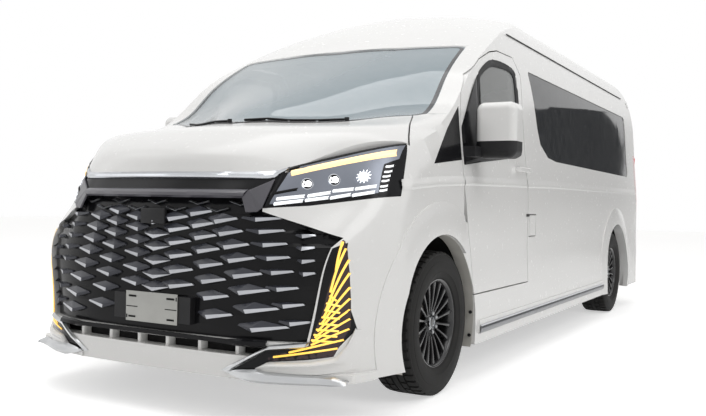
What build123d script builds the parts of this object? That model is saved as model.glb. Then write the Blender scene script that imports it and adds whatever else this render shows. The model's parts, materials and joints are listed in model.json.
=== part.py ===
"""High-roof passenger van, long wheelbase, in millimetres.

+X is the van's left side, +Y its rear and +Z up. The origin is on the ground, halfway along the van.
Outlines of body panels are lists of (distance behind the front axle, height) or of
(distance from the centre line, distance behind the front axle).
"""
import math
import os

from build123d import *

os.makedirs("parts", exist_ok=True)

# Overall sizes
length = 5915.0
width = 1970.0
height = 2280.0
wheelbase = 3860.0
front_overhang = 1010.0
track = 1675.0

# Body shell
wall = 60.0              # flank and roof, with their trim
nose_depth = 90.0        # measured along the van, on the sloping front
skin = 24.0              # outer part of a door, which overlaps its seal
seal_step = 18.0         # how far a door's inner part is narrower than its skin
door_gap = 7.0
glass_depth = 6.0        # how far side glass lies under the paint line
glass = 5.0
fit = 0.3                # between pieces that seat on each other
tail_radius = 150.0
tail_lean = 40.0
skirt_height = 200.0
gutter_height = 2008.0
header_height = 1862.0
roof_half_width = 800.0

# Wheels, brakes and steering
tyre_radius = 356.0
tyre_width = 235.0
rim_radius = 203.0
rim_flange = 218.0
rim_width = 190.0
hub_radius = 62.0
stub_radius = 30.0
disc_radius = 150.0
disc_thickness = 24.0
spoke_count = 16
barrel = 26.0
spoke_inset = 18.0
spoke_depth = 22.0
spoke_width = 17.0
disc_offset = 20.0       # from the wheel's centre plane in to the brake disc
stub_gap = 2.0
brake_gap = 8.0
steer_inset = 94.0       # from the wheel's centre plane to the steering axis, at the hub
steer_lean = 13.0
knuckle_drop = 130.0
upright_radius = 14.0
ball_radius = 10.0
carrier_radius = 55.0
strut_radius = 27.0
arch_radius = 440.0
arch_forward = 55.0      # front arch centre, ahead of the axle
rear_arch_radius = 432.0
arch_lining = 15.0
lining_bottom = 420.0
lining_centre = -45.0
front_lining_radius = 455.0
front_arch_inner = 505.0
rear_arch_inner = 690.0

# Forms that stand out from the body
flare_proud = 18.0
flare_nose = 14.0
flare_edge = 16.0
flare_radius = 600.0
rear_flare_radius = 580.0
strip_proud = 8.0
strip_front = 430.0
strip_rear = 3313.0
strip_heights = (252.0, 325.0)
foot_heights = (200.0, 235.0)
blade_height = 16.0
blade_pitch = 58.0
blade_bottom = 412.0
blade_rows = 9
blade_depth = 8.0
blade_lap = 6.0
handle_length = 209.0
handle_height = 28.0
handle_proud = 34.0
handle_bar = 14.0
handle_foot = 24.0
handle_z = 1162.0

# Cabin
floor_top = 600.0
floor_thickness = 45.0
seat_width = 430.0
seat_base_height = 300.0
seat_back_height = 640.0
row_pitch = 760.0
row_count = 4
first_row = 1700.0       # front edge of the first rear row, behind the front axle

# Running gear
rail_spacing = 780.0
rail_width = 70.0
rail_height = 110.0
rail_top = floor_top - floor_thickness
axle_tube_radius = 45.0
propshaft_radius = 35.0
exhaust_radius = 30.0

# Bolt holes for a tow bar and for the number plate
tow_bolt_hole = 13.0
tow_bolt_spacing = 150.0
tow_bolt_y = 4590.0
plate_bolt_hole = 7.0
plate_bolt_spacing = 200.0
plate_height = 462.0
holder_half = 223.0
holder_heights = (405.0, 520.0)

nose = -length / 2
tail = length / 2
front_axle = nose + front_overhang
rear_axle = front_axle + wheelbase
half = width / 2
wheel_x = track / 2
steer_x = wheel_x - steer_inset

# Half of the cross-section, from the skirt up to the gutter and over the roof
flank = [
    (half - 6, 150), (half, 330), (half - 4, 460), (half - 14, 700), (half - 13, 1000),
    (half - 26, 1150), (half - 37, 1250), (half - 58, 1500), (half - 88, 1815),
    (half - 140, gutter_height),
]
crown = [
    (half - 140, gutter_height), (half - 195, 2100), (half - 245, 2160), (half - 295, 2198),
    (half - 385, 2232), (half - 585, 2262), (0, height),
]

# The front as level curves: for each height, how far behind the axle the surface lies
# at each distance from the centre line
front_columns = (0, 250, 500, 640, 760, 860, 930, 970, 1010)
front_curves = [
    (150, (-1004, -999, -984, -948, -893, -812, -668, -535, -380)),
    (500, (-1006, -1001, -983, -945, -888, -790, -655, -530, -380)),
    (790, (-1004, -997, -972, -925, -862, -778, -640, -520, -370)),
    (960, (-990, -976, -940, -860, -745, -655, -570, -450, -300)),
    (1064, (-938, -920, -880, -805, -695, -600, -495, -370, -200)),
    (1140, (-922, -900, -838, -760, -650, -550, -440, -300, -120)),
    (1217, (-835, -812, -755, -690, -600, -480, -358, -200, 0)),
    (1282, (-699, -675, -610, -550, -475, -340, -170, -20, 120)),
    (1333, (-430, -370, -250, -235, -215, -150, -40, 60, 160)),
    (1390, (-320, -245, -95, -45, -5, 40, 75, 110, 150)),
    (1600, (82, 112, 200, 250, 300, 325, 350, 400, 460)),
    (1860, (580, 590, 630, 665, 700, 750, 800, 850, 900)),
    (2008, (850, 862, 905, 950, 1020, 1130, 1250, 1350, 1450)),
    (2100, (1040, 1060, 1125, 1210, 1380, 1600, 1800, 1950, 2100)),
    (2198, (1290, 1330, 1460, 1640, 1900, 2150, 2350, 2500, 2600)),
    (2260, (1600, 1700, 1950, 2200, 2450, 2650, 2800, 2900, 3000)),
    (2320, (2100, 2250, 2500, 2700, 2900, 3050, 3150, 3250, 3350)),
]

# Panel outlines seen from the side: (behind the front axle, height)
door_front = 236.0
door_rear = 1290.0
door_bottom = 470.0
door_outline = [
    (door_front, 1300), (door_front, 1043), (283, 851), (333, 704), (372, door_bottom),
    (door_rear, door_bottom), (door_rear, 1760), (1180, 1856), (900, 1850), (760, 1820),
    (571, 1749), (387, 1637), (275, 1530),
]
door_window = [
    (500, 1206), (733, 1225), (1150, 1262), (1212, 1330), (1212, 1730), (1150, 1790),
    (800, 1788), (640, 1730), (500, 1640),
]
quarter_panel = [(-132, 1135), (door_front - 8, 1172), (door_front - 8, 1452), (66, 1323)]
side_window = [
    (1460, 1815), (1547, 1610), (1596, 1449), (1646, 1350), (1800, 1271), (1990, 1253),
    (4450, 1235), (4480, 1280), (4480, 1790), (4450, 1815),
]
window_frame = 45.0
window_posts = (2560.0, 3520.0)
post_width = 90.0
door_hinge_heights = (1040.0, 1095.0)
rear_hinge_heights = (560.0, 1700.0)
hinge_height = 35.0
sliding_door_front = 1385.0
sliding_door_rear = 2515.0
sliding_door_top = 1895.0
fuel_lid_front = 1330.0
fuel_lid_width = 130.0
fuel_lid_bottom = 752.0
fuel_lid_height = 130.0
fender_top = 1400.0
bumper_top = 962.0
bumper_rear = -532.0

# The bonnet's edge: (from the centre line, behind the front axle, height). Its cut leans forward,
# along the way in which its hinge first lifts it.
bonnet_bottom = 1064.0
bonnet_lean = 0.5
bonnet_edge = [
    (0, -1100, bonnet_bottom), (597, -1000, bonnet_bottom), (597, -853, 1086), (930, -358, 1217),
    (785, -22, 1385), (640, -108, 1370), (511, -205, 1350), (295, -370, 1333), (0, -470, 1325),
]
bonnet_outline = [(x, y + bonnet_lean * (z - bonnet_bottom)) for x, y, z in bonnet_edge]

# Outlines seen from above: (from the centre line, behind the front axle)
windscreen_outline = [
    (0, -430), (295, -335), (511, -180), (700, -65), (800, -5), (838, 45), (812, 332), (781, 690),
    (740, 690), (400, 606), (0, 580),
]
foot_outline = [
    (430, -1001), (880, -832), (915, -806), (948, -700), (948, -640), (900, -640), (860, -740), (430, -930),
]
cowl_half = 560.0
rest_stop_x = 320.0
rest_stop_y = -915.0
grille_depth = 30.0
bar_height = 82.0

# Outlines seen from the front: (from the centre line, height)
headlamp_outline = [(597, 1086), (548, 912), (700, 925), (1020, 985), (1020, 1250), (930, 1217)]
grille_outline = [(0, 960), (545, 960), (548, 898), (850, 795), (822, 755), (745, 363), (0, 363)]
intake_outline = [(0, 345), (700, 345), (640, 300), (0, 300)]
fan_outline = [(826, 752), (866, 775), (878, 492), (893, 414), (830, 318), (700, 300), (752, 350)]

rear_door_half = 862.0
rear_door_bottom = 470.0
rear_door_top = 1985.0
rear_window_bottom = 1240.0
rear_window_top = 1800.0
rear_bumper_top = 440.0
rear_bumper_depth = 190.0
tail_lamp_bottom = 900.0
tail_lamp_top = 1460.0

# The numbers of a left-hand piece and of its mirror image
sides = {"left": 1, "right": -1}


def drawn_in(outline, inset):
    """An open outline moved inwards, each point square to the line between its neighbours."""
    moved = []
    for before, point, after in zip(outline[:1] + outline, outline, outline[1:] + outline[-1:]):
        along = Vector(after[0] - before[0], after[1] - before[1]).normalized()
        moved.append((max(point[0] - inset * along.Y, 0), point[1] + inset * along.X))
    return moved


def section(inset):
    """The cross-section of the body, open below, drawn in by inset."""
    outline = drawn_in(flank + crown[1:], inset)
    side, top = outline[:len(flank)], outline[len(flank) - 1:]
    with BuildSketch(Plane.XZ) as drawn:
        with BuildLine():
            Spline(*side)
            Spline(*top)
            Polyline(top[-1], (0, 0), (side[0][0], 0), side[0])
        make_face()
        mirror(about=Plane.YZ)
    return drawn.sketch


def front_surface(shift):
    """The curved front of the van, moved back by shift."""
    grid = []
    for level, depths in front_curves:
        half_row = [(x, front_axle + depth + shift) for x, depth in zip(front_columns, depths)]
        row = [Vector(-x, y, level) for x, y in half_row[:0:-1]]
        row += [Vector(x, y, level) for x, y in half_row]
        grid.append(row)
    return Face.make_surface_from_array_of_points(grid, tol=5.0, smoothing=(1, 0.5, 0.2), max_deg=6)


def envelope(inset, shift):
    """The closed form of the whole body, its flanks drawn in by inset and its front by shift."""
    back = tail - inset
    with BuildPart() as form:
        extrude(section(inset), amount=length, both=True)
        with BuildSketch(Plane.YZ):
            Polygon((nose, 0), (back, 0), (back, 1100), (back - tail_lean, height), (nose, height),
                    align=None)
        extrude(amount=width, both=True, mode=Mode.INTERSECT)
        with BuildSketch(Plane.XY):
            with Locations((0, back - length)):
                RectangleRounded(width - 2 * inset, 2 * length, tail_radius)
        extrude(amount=height, mode=Mode.INTERSECT)
        extrude(front_surface(shift), amount=2 * length, dir=(0, 1, 0), mode=Mode.INTERSECT)
    return form.part


def side_prism(outline, low=0.0, high=width, grow=0.0, round_off=0.0):
    """An outline seen from the side, from low to high along X."""
    with BuildPart() as prism:
        with BuildSketch(Plane.YZ.offset(low)) as drawn:
            Polygon(*[(front_axle + y, z) for y, z in outline], align=None)
            if round_off:
                fillet(drawn.vertices(), radius=round_off)
            if grow:
                offset(amount=grow, kind=Kind.INTERSECTION)
        extrude(amount=high - low)
    return prism.part


def top_prism(outline, low, high, grow=0.0, lean=0.0):
    """Half an outline seen from above, mirrored about the centre line, leaning forward from low to high."""
    with BuildPart() as prism:
        with BuildSketch(Plane.XY.offset(low)):
            Polygon(*[(x, front_axle + y) for x, y in outline], align=None)
            mirror(about=Plane.YZ)
            if grow:
                offset(amount=grow, kind=Kind.INTERSECTION)
        extrude(amount=(high - low) * math.hypot(1, lean), dir=(0, -lean, 1))
    return prism.part


def front_prism(outline, grow=0.0, both_sides=True, depth=width):
    """An outline seen from the front, mirrored about the centre line, from the nose backwards."""
    with BuildPart() as prism:
        with BuildSketch(Plane.XZ.offset(-(nose - 50))):
            Polygon(*outline, align=None)
            if both_sides:
                mirror(about=Plane.YZ)
            if grow:
                offset(amount=grow, kind=Kind.INTERSECTION)
        extrude(amount=-depth)
    return prism.part


def block(x, y, z):
    """A box between two values along each axis, y behind the front axle."""
    with BuildPart() as box:
        with BuildSketch(Plane.XY.offset(z[0])):
            with Locations(((x[0] + x[1]) / 2, front_axle + (y[0] + y[1]) / 2)):
                Rectangle(x[1] - x[0], y[1] - y[0])
        extrude(amount=z[1] - z[0])
    return box.part


def drum(x, y, z, radius):
    """A round bar along X, y behind the front axle."""
    with BuildPart() as bar:
        with BuildSketch(Plane.YZ.offset(x[0])):
            with Locations((front_axle + y, z)):
                Circle(radius)
        extrude(amount=x[1] - x[0])
    return bar.part


def mirrored(part):
    """The same piece on the van's other side."""
    with BuildPart() as other:
        add(part)
        mirror(about=Plane.YZ, mode=Mode.REPLACE)
    return other.part


def panel(layer, keep, cuts=(), count=1):
    """The part of a layer of the body inside keep and outside every cut, as its largest solids."""
    with BuildPart() as piece:
        add(layer)
        add(keep, mode=Mode.INTERSECT)
        for cut in cuts:
            add(cut, mode=Mode.SUBTRACT)
        largest = piece.solids().sort_by(SortBy.VOLUME)[-count:]
        add(largest, mode=Mode.REPLACE)
    return piece.part


def save(piece, label):
    """Name a finished piece and write it."""
    piece.label = label
    export_step(piece, f"parts/{label}.step")


def save_pair(piece, label):
    """Write a left-hand piece and its mirror image."""
    other = mirrored(piece)
    save(piece, f"{label}_left")
    save(other, f"{label}_right")


rear_y = wheelbase
tail_y = tail - front_axle
nose_y = nose - front_axle

outer = envelope(0, 0)
inner = envelope(wall, nose_depth)
shell = outer - inner

# Zones that share the shell out between its panels
bonnet_zone = top_prism(bonnet_outline, bonnet_bottom, fender_top, lean=bonnet_lean)
bonnet_hole = top_prism(bonnet_outline, bonnet_bottom, fender_top, grow=door_gap, lean=bonnet_lean)
windscreen_zone = top_prism(windscreen_outline, 1300, header_height)
windscreen_hole = top_prism(windscreen_outline, 1300, header_height, grow=fit)
headlamp_limit = side_prism([(-1100, 800), (-560, 800), (-345, 1260), (-1100, 1260)], -width, width)
headlamp_zone = front_prism(headlamp_outline) & headlamp_limit
headlamp_hole = front_prism(headlamp_outline, grow=2 * fit) & headlamp_limit
grille_zone = front_prism(grille_outline, depth=300)
grille_hole = front_prism(grille_outline, grow=fit, depth=300)
intake_hole = front_prism(intake_outline, depth=300)
fan_limit = block((-half, half), (-1100, -700), (250, 850))
fan_zone = front_prism(fan_outline) & fan_limit
fan_hole = front_prism(fan_outline, grow=fit) & fan_limit
bar_zone = block((-600, 600), (nose_y - 50, -700), (bumper_top + fit, bonnet_bottom - door_gap))
bar_hole = block((-640, 640), (nose_y - 50, -700), (bonnet_bottom - bar_height, bonnet_bottom))

arches = (
    drum((-width, width), -arch_forward, tyre_radius, arch_radius)
    + drum((-width, width), rear_y, tyre_radius, rear_arch_radius)
    + block((-width, width), (-arch_forward - arch_radius, arch_radius - arch_forward), (0, tyre_radius))
    + block((-width, width), (rear_y - rear_arch_radius, rear_y + rear_arch_radius), (0, tyre_radius))
)
below_skirt = block((-width, width), (nose_y - 100, tail_y + 100), (0, skirt_height))

roof_section = [
    (0, header_height), (roof_half_width, header_height), (roof_half_width, gutter_height - 20),
    (half - 143, gutter_height), (half, gutter_height), (half, height + 50), (0, height + 50),
]
roof_zone = front_prism(roof_section, depth=length + 200)

rear_door_zone = block((-rear_door_half, rear_door_half), (tail_y - 95, tail_y + 50),
                       (rear_door_bottom, rear_door_top))
rear_door_hole = block((-rear_door_half - door_gap, rear_door_half + door_gap),
                       (tail_y - 140, tail_y + 50), (rear_door_bottom - door_gap, rear_door_top + door_gap))
rear_bumper_zone = block((-width, width), (tail_y - rear_bumper_depth, tail_y + 50),
                         (skirt_height, rear_bumper_top))
tail_lamp_zone = (
    block((rear_door_half + 12, width), (tail_y - 120, tail_y + 50), (tail_lamp_bottom, tail_lamp_top))
    + block((-width, -rear_door_half - 12), (tail_y - 120, tail_y + 50), (tail_lamp_bottom, tail_lamp_top))
)
fender_zone = block((-width, width), (nose_y - 50, door_front - door_gap), (0, fender_top))
bumper_zone = block((-width, width), (nose_y - 50, bumper_rear), (skirt_height, bumper_top))


inner_skin = envelope(skin, skin * 2)
skin_layer = outer - inner_skin
raised_layer = envelope(-flare_proud, -flare_nose) - inner_skin
strip_layer = envelope(-strip_proud, -strip_proud) - inner_skin
left_half = block((0, width), (nose_y - 50, tail_y + 50), (0, height))
glass_layer = envelope(glass_depth, glass_depth * 2) - envelope(glass_depth + glass, (glass_depth + glass) * 2)
rebate_layer = outer - envelope(glass_depth + glass + fit, (glass_depth + glass) * 2)



def flare(y, inner_radius, outer_radius):
    """A band round one left arch, standing proud at the arch and running out into the body."""
    foot = half - wall
    with BuildPart() as band:
        with BuildSketch(Plane.XY.offset(tyre_radius)):
            with Locations((0, front_axle + y)):
                Polygon((foot, inner_radius), (half + flare_proud, inner_radius),
                        (half + flare_proud, inner_radius + flare_edge), (half - 7, outer_radius),
                        (foot, outer_radius), align=None)
        revolve(axis=Axis((0, front_axle + y, tyre_radius), (1, 0, 0)))
    return panel(raised_layer, band.part, [below_skirt, side_prism(door_outline, grow=door_gap)])


def handle(x, y, z):
    """A bar on two feet; x is the surface that it stands on, y its front end and z its middle."""
    with BuildPart() as grip:
        add(block((x + handle_proud - handle_bar, x + handle_proud), (y, y + handle_length),
                  (z - handle_height / 2, z + handle_height / 2)))
        for end in (y, y + handle_length - handle_foot):
            add(block((x - skin / 2, x + handle_proud), (end, end + handle_foot),
                      (z - handle_height / 2, z + handle_height / 2)))
        fillet(grip.faces().sort_by(Axis.X)[-1].edges(), radius=5)
    return grip.part


front_flare = flare(-arch_forward, arch_radius, flare_radius)
rear_flare = flare(rear_y, rear_arch_radius, rear_flare_radius)

# Roof, from the head of the windscreen to the rear doors
roof = panel(shell, roof_zone, [rear_door_hole, windscreen_hole])
save(roof, "roof")

# Front fenders, from the lamps back to the doors and up to the foot of the screen
fender_cuts = [bumper_zone, bonnet_hole, windscreen_hole, headlamp_hole, arches, below_skirt,
               block((-cowl_half, cowl_half), (nose_y - 50, door_front), (0, fender_top)),
               side_prism(door_outline, -width, width, grow=door_gap)]
quarter_hole = side_prism(quarter_panel, -width, width)
fender_panels = panel(shell, fender_zone, fender_cuts + [quarter_hole], count=2)
fender_flare = panel(front_flare, fender_zone, [bumper_zone])
with BuildPart() as front_fenders:
    add(fender_panels)
    add(fender_flare)
    add(mirrored(fender_flare))
    for low in door_hinge_heights:
        hinge = block((half - wall - 10, half - skin - 25), (door_front - 40, door_front + seal_step - fit),
                      (low, low + hinge_height))
        add(hinge)
        add(mirrored(hinge))
save(front_fenders.part, "front_fenders")

# Dark panels between the fenders and the doors
quarter_panels = panel(shell, side_prism(quarter_panel, -width, width, grow=-fit), count=2)
save(quarter_panels, "quarter_panels")

# Bumper with its openings, its foot and the front of the flares
bumper_panel = panel(shell, bumper_zone,
                     [grille_hole, intake_hole, fan_hole, headlamp_hole, arches, bar_hole])
bumper_flare = panel(front_flare, bumper_zone)
with BuildPart() as front_bumper:
    add(bumper_panel)
    add(top_prism(foot_outline, *foot_heights))
    add(bumper_flare)
    add(mirrored(bumper_flare))
save(front_bumper.part, "front_bumper")

# Lamps
with BuildPart() as front_lamps:
    add(panel(shell, headlamp_zone, [bonnet_hole], count=2))
    add(panel(shell, fan_zone, count=2))
save(front_lamps.part, "front_lamps")

# Bar across the nose, with two rests for the bonnet
nose_bar_panel = panel(shell, bar_zone, [headlamp_hole])
with BuildPart() as nose_bar:
    add(nose_bar_panel)
    for rest in (rest_stop_x, -rest_stop_x):
        add(block((rest - 20, rest + 20), (rest_stop_y, rest_stop_y + 30),
                  (bonnet_bottom - door_gap - 5, bonnet_bottom - fit)))
save(nose_bar.part, "nose_bar")

# Bonnet
save(panel(skin_layer, bonnet_zone, [headlamp_hole]), "bonnet")

# Windscreen and the cowl below it
save(panel(glass_layer, windscreen_zone), "windscreen")

# Doors, their glass and mirrors: made on the left and mirrored
door_plug = side_prism(door_outline)
door_core = side_prism(door_outline, grow=-seal_step)
door_hole = side_prism(door_outline, grow=door_gap)
window_hole = side_prism(door_window, round_off=30)
left_door_skin = panel(skin_layer, door_plug, [window_hole, arches])
left_door_core = panel(inner_skin, door_core, [inner, window_hole, arches])
left_door = left_door_skin + left_door_core + handle(half - 28, 1081, handle_z)
left_door_glass = panel(glass_layer, side_prism(door_window, grow=-fit, round_off=30))

mirror_y = 400.0
mirror_depth = 120.0
mirror_inner = 978.0
mirror_outer = 1200.0
mirror_bottom = 1188.0
mirror_top = 1482.0
arm_front = 252.0
arm_bottom = 1192.0
arm_top = 1246.0
arm_width = 40.0
with BuildPart() as left_mirror:
    with BuildSketch(Plane.XZ.offset(-(front_axle + mirror_y - mirror_depth / 2))) as face:
        with Locations(((mirror_inner + mirror_outer) / 2, (mirror_bottom + mirror_top) / 2)):
            RectangleRounded(mirror_outer - mirror_inner, mirror_top - mirror_bottom, 45)
    extrude(amount=-mirror_depth)
    fillet(left_mirror.faces().sort_by(Axis.Y)[0].edges(), radius=40)
    add(block((half - wall, mirror_inner + arm_width), (arm_front, mirror_y), (arm_bottom, arm_top)))
    add(outer, mode=Mode.SUBTRACT)

save_pair(left_door, "door")
save_pair(left_door_glass, "door_glass")
save_pair(left_mirror.part, "mirror")

# Body sides, from the screen pillars back to the rear doors
window_band = side_prism(side_window, round_off=20)
band_opening = side_prism(side_window, grow=-window_frame)
posts = [block((0, width), (post - post_width / 2, post + post_width / 2), (0, height)) for post in window_posts]
side_cuts = [fender_zone, roof_zone, windscreen_hole, door_hole, arches, below_skirt, rear_door_hole,
             rear_bumper_zone, tail_lamp_zone, quarter_hole, rebate_layer & window_band,
             panel(band_opening, band_opening, posts, count=3)]
side_wall = panel(shell, left_half, side_cuts)
with BuildPart() as hinged_side:
    add(side_wall)
    add(rear_flare)
    add(panel(strip_layer, block((0, width), (strip_front, strip_rear), strip_heights)))
    for low in rear_hinge_heights:
        add(block((rear_door_half + fit, rear_door_half + door_gap + 30), (tail_y - 90, tail_y - 55),
                  (low, low + hinge_height)))
side_shell = hinged_side.part

fuel_lid_zone = block((0, width), (fuel_lid_front, fuel_lid_front + fuel_lid_width),
                      (fuel_lid_bottom, fuel_lid_bottom + fuel_lid_height))
fuel_lid_hole = block((half - skin - 25, width),
                      (fuel_lid_front - door_gap, fuel_lid_front + fuel_lid_width + door_gap),
                      (fuel_lid_bottom - door_gap, fuel_lid_bottom + fuel_lid_height + door_gap))
with BuildPart() as body_side_left:
    add(side_shell)
    add(fuel_lid_hole, mode=Mode.SUBTRACT)
    add(block((half - skin - 26, half - skin), (fuel_lid_front - door_gap - 5, fuel_lid_front - fit),
              (fuel_lid_bottom + 30, fuel_lid_bottom + fuel_lid_height - 30)))
save(body_side_left.part, "body_side_left")
fuel_lid_layer = outer - envelope(10, 20)
save(panel(fuel_lid_layer, fuel_lid_zone), "fuel_lid")

sliding_outline = [(sliding_door_front, door_bottom), (sliding_door_rear, door_bottom),
                   (sliding_door_rear, sliding_door_top), (sliding_door_front, sliding_door_top)]
sliding_hole = side_prism(sliding_outline, grow=door_gap)
body_side_right = panel(side_shell, side_shell, [sliding_hole])
save(mirrored(body_side_right), "body_side_right")
sliding_panel = panel(side_shell, side_prism(sliding_outline))
with BuildPart() as sliding_door:
    add(sliding_panel)
    add(handle(half - 28, sliding_door_front + 60, handle_z))
save(mirrored(sliding_door.part), "sliding_door")

left_side_glass = panel(glass_layer, side_prism(side_window, grow=-fit, round_off=20))
with BuildPart() as side_glass:
    add(left_side_glass)
    add(mirrored(left_side_glass))
save(side_glass.part, "side_glass")

# Rear doors with their windows, split down the middle
rear_window = [(140, rear_window_bottom), (760, rear_window_bottom), (720, rear_window_top), (140, rear_window_top)]
with BuildPart() as rear_opening:
    with BuildSketch(Plane.XZ.offset(-(tail - 300))) as opening:
        Polygon(*rear_window, align=None)
        fillet(opening.vertices(), radius=50)
    extrude(amount=-500)
with BuildPart() as rear_pane:
    with BuildSketch(Plane.XZ.offset(-(tail - 300))) as opening:
        Polygon(*rear_window, align=None)
        fillet(opening.vertices(), radius=50)
        offset(amount=-fit)
    extrude(amount=-500)
rear_half = block((door_gap / 2, width), (tail_y - 140, tail_y + 50), (0, height))
left_rear_door = panel(shell, rear_door_zone & rear_half, [rear_opening.part])
left_rear_glass = panel(glass_layer, rear_pane.part)
save_pair(left_rear_door, "rear_door")
save_pair(left_rear_glass, "rear_glass")

half_bumper = panel(shell, rear_bumper_zone & left_half, [below_skirt])
with BuildPart() as rear_bumper:
    add(half_bumper)
    add(mirrored(half_bumper))
save(rear_bumper.part, "rear_bumper")
save(panel(shell, tail_lamp_zone, count=2), "tail_lamps")

# Grille: a plate with raised bars
blade_layer = envelope(blade_depth, blade_depth) - envelope(grille_depth + blade_lap, grille_depth + blade_lap)
grille_plate = panel(envelope(grille_depth, grille_depth) - envelope(50, 60), grille_zone)
with BuildPart() as blades:
    for row in range(blade_rows):
        middle = blade_bottom + row * blade_pitch
        add(block((-width, width), (nose_y - 50, nose_y + 250),
                  (middle - blade_height / 2, middle + blade_height / 2)))
    add(grille_zone, mode=Mode.INTERSECT)
    add(blade_layer, mode=Mode.INTERSECT)
    add(block((-holder_half - fit, holder_half + fit), (nose_y - 50, nose_y + 250),
              (holder_heights[0] - fit, holder_heights[1] + fit)), mode=Mode.SUBTRACT)
with BuildPart() as grille:
    add(grille_plate)
    add(blades.part)
save(grille.part, "grille")

# Wheel housings: round linings over each wheel, open below and closed on the inner side
def housing(centre, radius, inner_x):
    """A lining of the arch over one left wheel."""
    thick = arch_lining
    reach = (inner_x, width)
    span = (centre - radius - thick, centre + radius + thick)
    with BuildPart() as lining:
        add(drum(reach, centre, tyre_radius, radius + thick))
        add(block(reach, span, (0, lining_bottom)), mode=Mode.SUBTRACT)
        hollow = (reach[0] + thick, reach[1] + thick)
        add(drum(hollow, centre, tyre_radius, radius), mode=Mode.SUBTRACT)
        add(inner, mode=Mode.INTERSECT)
        add(door_space, mode=Mode.SUBTRACT)
    return lining.part


door_space = block((half - wall - 25, width), (door_front - 30, door_rear + 20), (0, height))
front_housing = housing(lining_centre, front_lining_radius, front_arch_inner)
rear_housing = housing(rear_y, rear_arch_radius, rear_arch_inner)
with BuildPart() as wheel_housings:
    for lining in (front_housing, rear_housing):
        add(lining)
        add(mirrored(lining))
save(wheel_housings.part, "wheel_housings")

# Floor, toe board and bulkhead in front of the cabin
floor_front = 400.0
bulkhead_y = 200.0
floor_outline = [
    (floor_front, floor_top), (tail_y - 100, floor_top), (tail_y - 100, rail_top), (floor_front, rail_top),
    (bulkhead_y - 30, 830), (bulkhead_y - 30, 1240), (bulkhead_y, 1240), (bulkhead_y, 850),
]
with BuildPart() as floor_pan:
    add(side_prism(floor_outline, -half, half))
    for centre, radius, inner_x in ((lining_centre, front_lining_radius, front_arch_inner),
                                    (rear_y, rear_arch_radius, rear_arch_inner)):
        for reach in ((inner_x - fit, width), (-width, -inner_x + fit)):
            add(drum(reach, centre, tyre_radius, radius + arch_lining + fit), mode=Mode.SUBTRACT)
    add(inner, mode=Mode.INTERSECT)
    add(door_space, mode=Mode.SUBTRACT)
    add(mirrored(door_space), mode=Mode.SUBTRACT)
save(floor_pan.part, "floor_pan")

# Chassis rails and cross members, with bolt holes for a tow bar
rail_front = -820.0
rail_rear = tail_y - 200
cross_members = (-700.0, 620.0, 1500.0, 2700.0, 4600.0)
with BuildPart() as chassis_rails:
    for sign in sides.values():
        centre = sign * rail_spacing / 2
        add(block((centre - rail_width / 2, centre + rail_width / 2), (rail_front, rail_rear),
                  (rail_top - rail_height, rail_top)))
    for member in cross_members:
        add(block((-rail_spacing / 2, rail_spacing / 2), (member - 40, member + 40),
                  (rail_top - rail_height, rail_top - 40)))
    with BuildSketch(Plane.XY.offset(rail_top - rail_height)):
        with Locations((0, front_axle + tow_bolt_y)):
            with GridLocations(rail_spacing, tow_bolt_spacing, 2, 2):
                Circle(tow_bolt_hole / 2)
    extrude(amount=rail_height, mode=Mode.SUBTRACT)
save(chassis_rails.part, "chassis_rails")

# Engine and gearbox
with BuildPart() as engine:
    add(block((-270, 270), (-640, -60), (rail_top - rail_height + 20, 1010)))
    add(block((-130, 130), (-60, 560), (rail_top - rail_height - 60, rail_top - 90)))
save(engine.part, "engine")

# Seats: a cushion and a back in one solid, on a frame that stands on the floor
def seat_outline(front):
    """A seat seen from the side."""
    base = floor_top + seat_base_height
    return [
        (front, base), (front, base + 120), (front + 420, base + 100), (front + 520, base + seat_back_height),
        (front + 610, base + seat_back_height), (front + 560, base),
    ]


def seat(front, centre):
    """One seat with its head restraint."""
    top = floor_top + seat_base_height + seat_back_height
    with BuildPart() as made:
        add(side_prism(seat_outline(front), centre - seat_width / 2, centre + seat_width / 2, round_off=30))
        add(block((centre - 130, centre + 130), (front + 520, front + 610), (top - 20, top + 150)))
    return made.part


def seat_frame(front, centre):
    """A box leg under one seat."""
    return block((centre - seat_width / 2 + 40, centre + seat_width / 2 - 40), (front + 80, front + 500),
                 (floor_top, floor_top + seat_base_height - fit))


cab_seat_x = 450.0
cab_seat_front = 640.0
rear_columns = (640.0, 185.0, -630.0)
with BuildPart() as front_seats:
    for sign in sides.values():
        add(seat(cab_seat_front, sign * cab_seat_x))
save(front_seats.part, "front_seats")
with BuildPart() as rear_seats:
    for row in range(row_count):
        for centre in rear_columns:
            add(seat(first_row + row * row_pitch, centre))
save(rear_seats.part, "rear_seats")
with BuildPart() as seat_frames:
    for sign in sides.values():
        add(seat_frame(cab_seat_front, sign * cab_seat_x))
    for row in range(row_count):
        for centre in rear_columns:
            add(seat_frame(first_row + row * row_pitch, centre))
    for reach in ((rear_arch_inner - fit, width), (-width, -rear_arch_inner + fit)):
        add(drum(reach, rear_y, tyre_radius, rear_arch_radius + arch_lining + fit), mode=Mode.SUBTRACT)
save(seat_frames.part, "seat_frames")

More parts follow.
